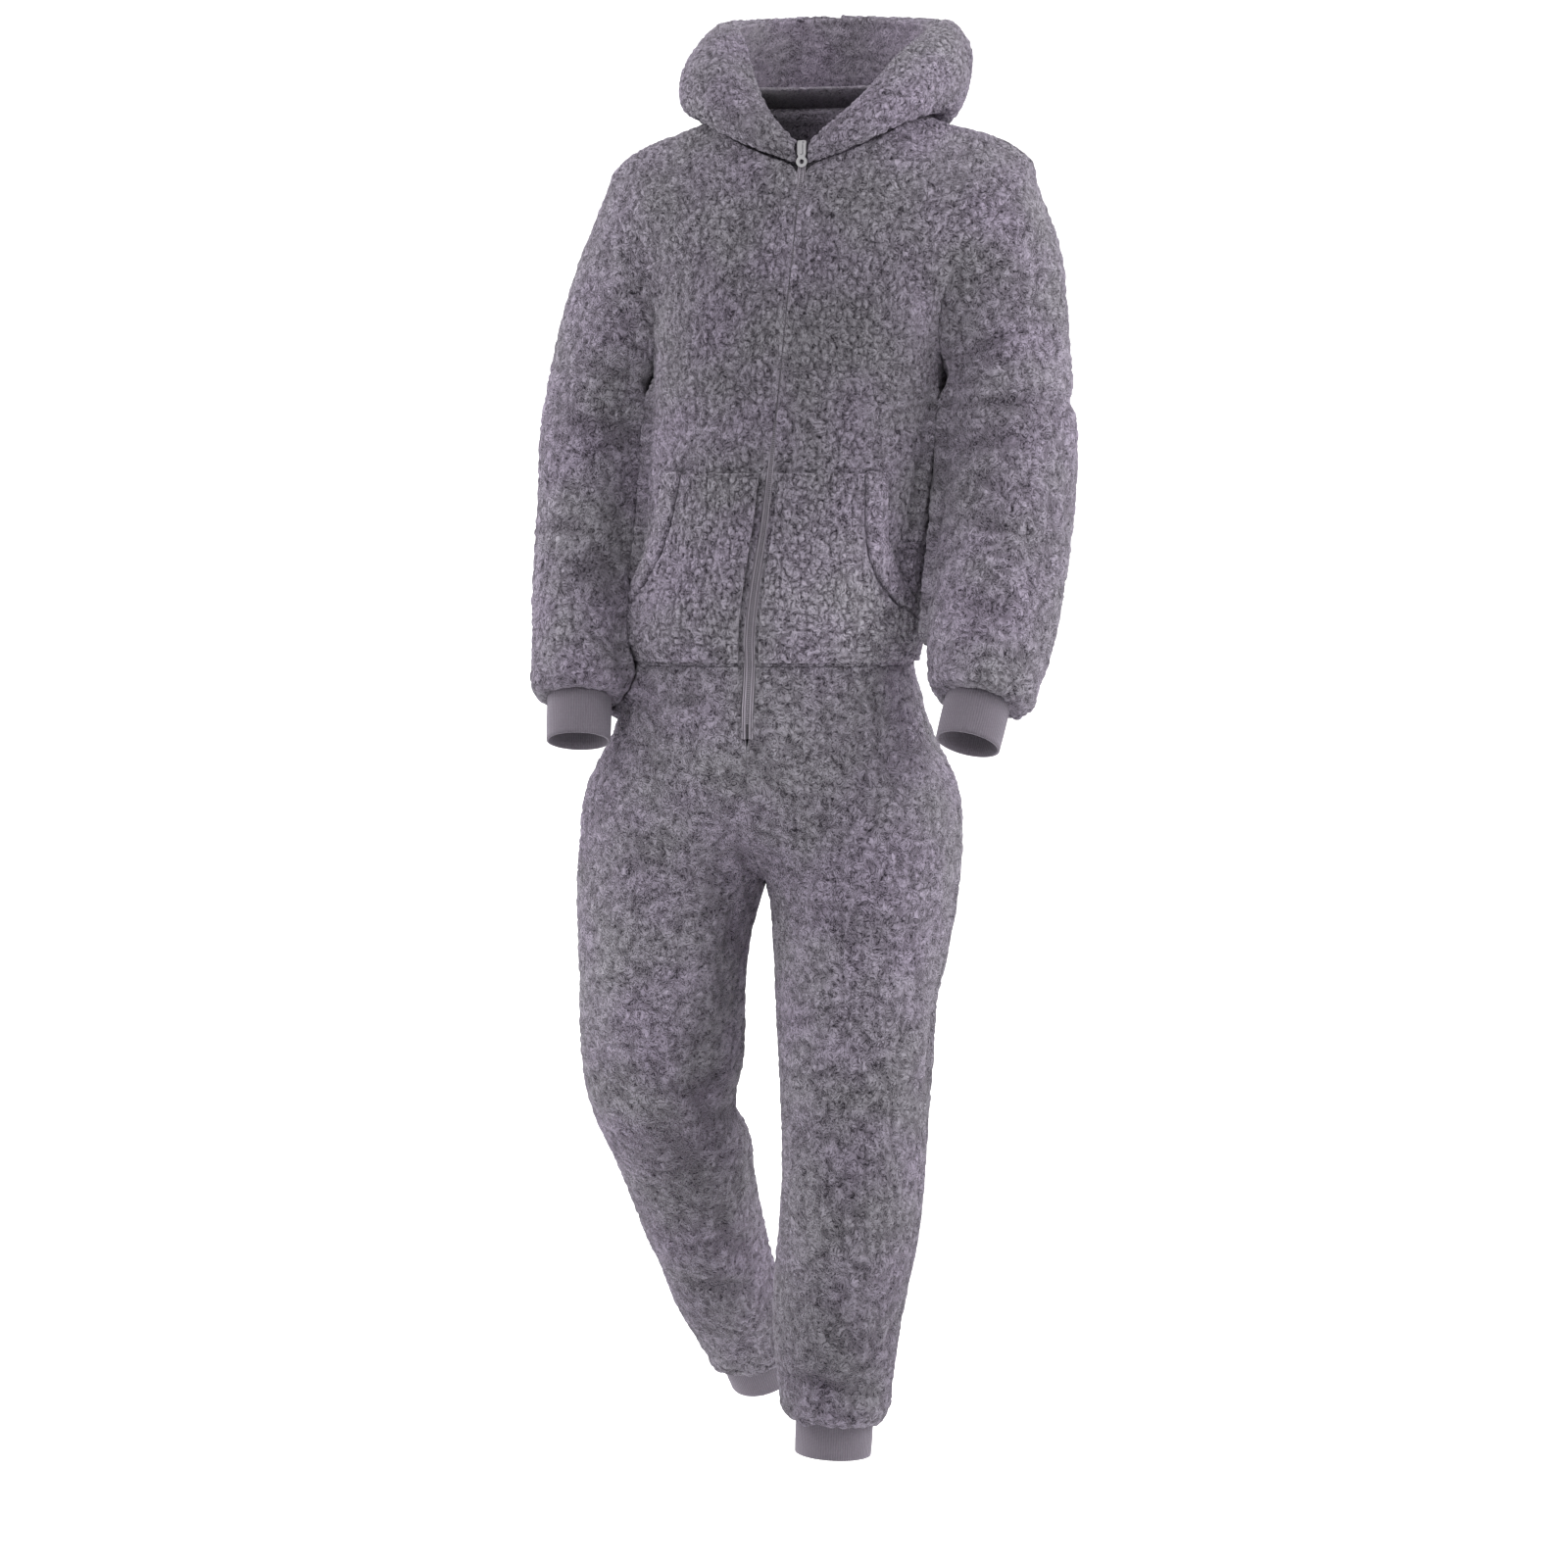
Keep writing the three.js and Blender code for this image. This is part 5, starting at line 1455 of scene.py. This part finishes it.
def new_piece(
    name: str, points: np.ndarray, faces: list[list[int]], finish: bpy.types.Material
) -> bpy.types.Object:
    """Make a smooth object from arrays and put it in the scene.

    Args:
        name: the object's name.
        points: its points in metres.
        faces: its faces as lists of point numbers.
        finish: its material.

    Returns:
        The object.
    """
    mesh = bpy.data.meshes.new(name)
    mesh.from_pydata(points.tolist(), [], faces)
    mesh.polygons.foreach_set("use_smooth", [True] * len(mesh.polygons))
    mesh.materials.append(finish)
    mesh.update()
    piece = bpy.data.objects.new(name, mesh)
    bpy.context.scene.collection.objects.link(piece)
    LOG.info("%s: %d faces", name, len(faces))
    return piece


class Studio:
    """Pale floor, even light and the camera."""

    # Height of the floor and place of the camera in metres, its lens and sensor in millimetres, and how
    # far it looks down and to the side in degrees
    FLOOR: ClassVar[float] = -1.532
    PLACE: ClassVar[Point] = (0.7681, -4.1293, -0.4493)
    LENS: ClassVar[float] = 87.05
    SENSOR: ClassVar[float] = 36.0
    DOWN: ClassVar[float] = 3.226
    TURN: ClassVar[float] = 11.0

    def build(self) -> None:
        """Build the floor, the lights, the world and the camera."""
        self._floor()
        self._lights()
        self._camera()

    def _floor(self) -> None:
        """Lay a wide pale floor that bends up behind."""
        rows = [(-9.0, 0.0), (3.0, 0.0), (4.2, 0.12), (5.2, 0.6), (5.8, 1.5), (6.0, 3.0), (6.0, 8.0)]
        points: list[Point] = []
        for y, z in rows:
            points += [(-9.0, y, self.FLOOR + z), (9.0, y, self.FLOOR + z)]
        faces = [[2 * k, 2 * k + 1, 2 * k + 3, 2 * k + 2] for k in range(len(rows) - 1)]
        material, nodes, shader = new_material("pale_floor")
        place = nodes.add("ShaderNodeTexCoord").outputs["Object"]
        mottle = nodes.noise(place, 1.6)
        colour = nodes.blend(mottle.outputs["Fac"], (0.9, 0.9, 0.9, 1.0), (0.93, 0.93, 0.93, 1.0))
        nodes.join(colour, shader.inputs["Base Color"])
        white = (1.0, 1.0, 1.0, 1.0)
        nodes.put(shader, {"Roughness": 0.9, "Specular IOR Level": 0.0, "Emission Color": white})
        seen = nodes.add("ShaderNodeLightPath").outputs["Is Camera Ray"]
        nodes.join(nodes.maths("MULTIPLY_ADD", seen, 0.5, 0.05), shader.inputs["Emission Strength"])
        new_piece("floor", np.array(points), faces, material)

    def _lights(self) -> None:
        """Set large soft lights round the garment and an even white world."""
        world = bpy.data.worlds.new("studio")
        bpy.context.scene.world = world
        world.use_nodes = True
        back = world.node_tree.nodes["Background"]
        nodes = Nodes(world.node_tree)
        nodes.put(back, {"Color": (1.0, 1.0, 1.0, 1.0)})
        seen = nodes.add("ShaderNodeLightPath").outputs["Is Camera Ray"]
        nodes.join(nodes.maths("MULTIPLY_ADD", seen, 0.45, 0.62), back.inputs["Strength"])
        for name, place, aim, size, power in (
            ("key", (-0.6, -2.2, 2.6), (0.0, 0.0, -0.3), 1.4, 44.0),
            ("side_left", (3.0, -0.4, 0.8), (0.0, 0.0, -0.4), 2.2, 104.0),
            ("side_right", (-3.0, -0.3, 0.9), (0.0, 0.0, -0.4), 2.2, 96.0),
            ("back_left", (1.8, 2.6, 1.4), (0.0, 0.0, -0.5), 2.0, 40.0),
            ("back_right", (-1.8, 2.6, 1.4), (0.0, 0.0, -0.5), 2.0, 40.0),
        ):
            light = bpy.data.lights.new(name, "AREA")
            light.shape = "DISK"
            light.size = size
            light.energy = power
            lamp = bpy.data.objects.new(name, light)
            lamp.location = place
            lamp.rotation_euler = (Vector(aim) - Vector(place)).to_track_quat("-Z", "Y").to_euler()
            bpy.context.scene.collection.objects.link(lamp)

    def _camera(self) -> None:
        """Set the camera where the photograph was taken from."""
        camera = bpy.data.cameras.new("camera")
        camera.sensor_width = self.SENSOR
        camera.lens = self.LENS
        camera.clip_end = 40.0
        holder = bpy.data.objects.new("camera", camera)
        holder.location = self.PLACE
        holder.rotation_euler = (math.radians(90.0 - self.DOWN), 0.0, math.radians(self.TURN))
        bpy.context.scene.collection.objects.link(holder)
        bpy.context.scene.camera = holder
        bpy.context.scene.view_settings.view_transform = "Standard"


def main() -> None:
    """Build the studio and every piece."""
    logging.basicConfig(level=logging.INFO, format="%(message)s")
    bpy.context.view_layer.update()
    Studio().build()
    palette = Palette()
    zip_line = ZipLine()
    jacket = Jacket(palette, zip_line=zip_line)
    for part in (jacket, Trousers(palette), Hood(palette), Zip(palette, zip_line)):
        part.build()
        LOG.info("%s: every piece built", type(part).__name__)


if __name__ == "__main__":
    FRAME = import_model()
    main()
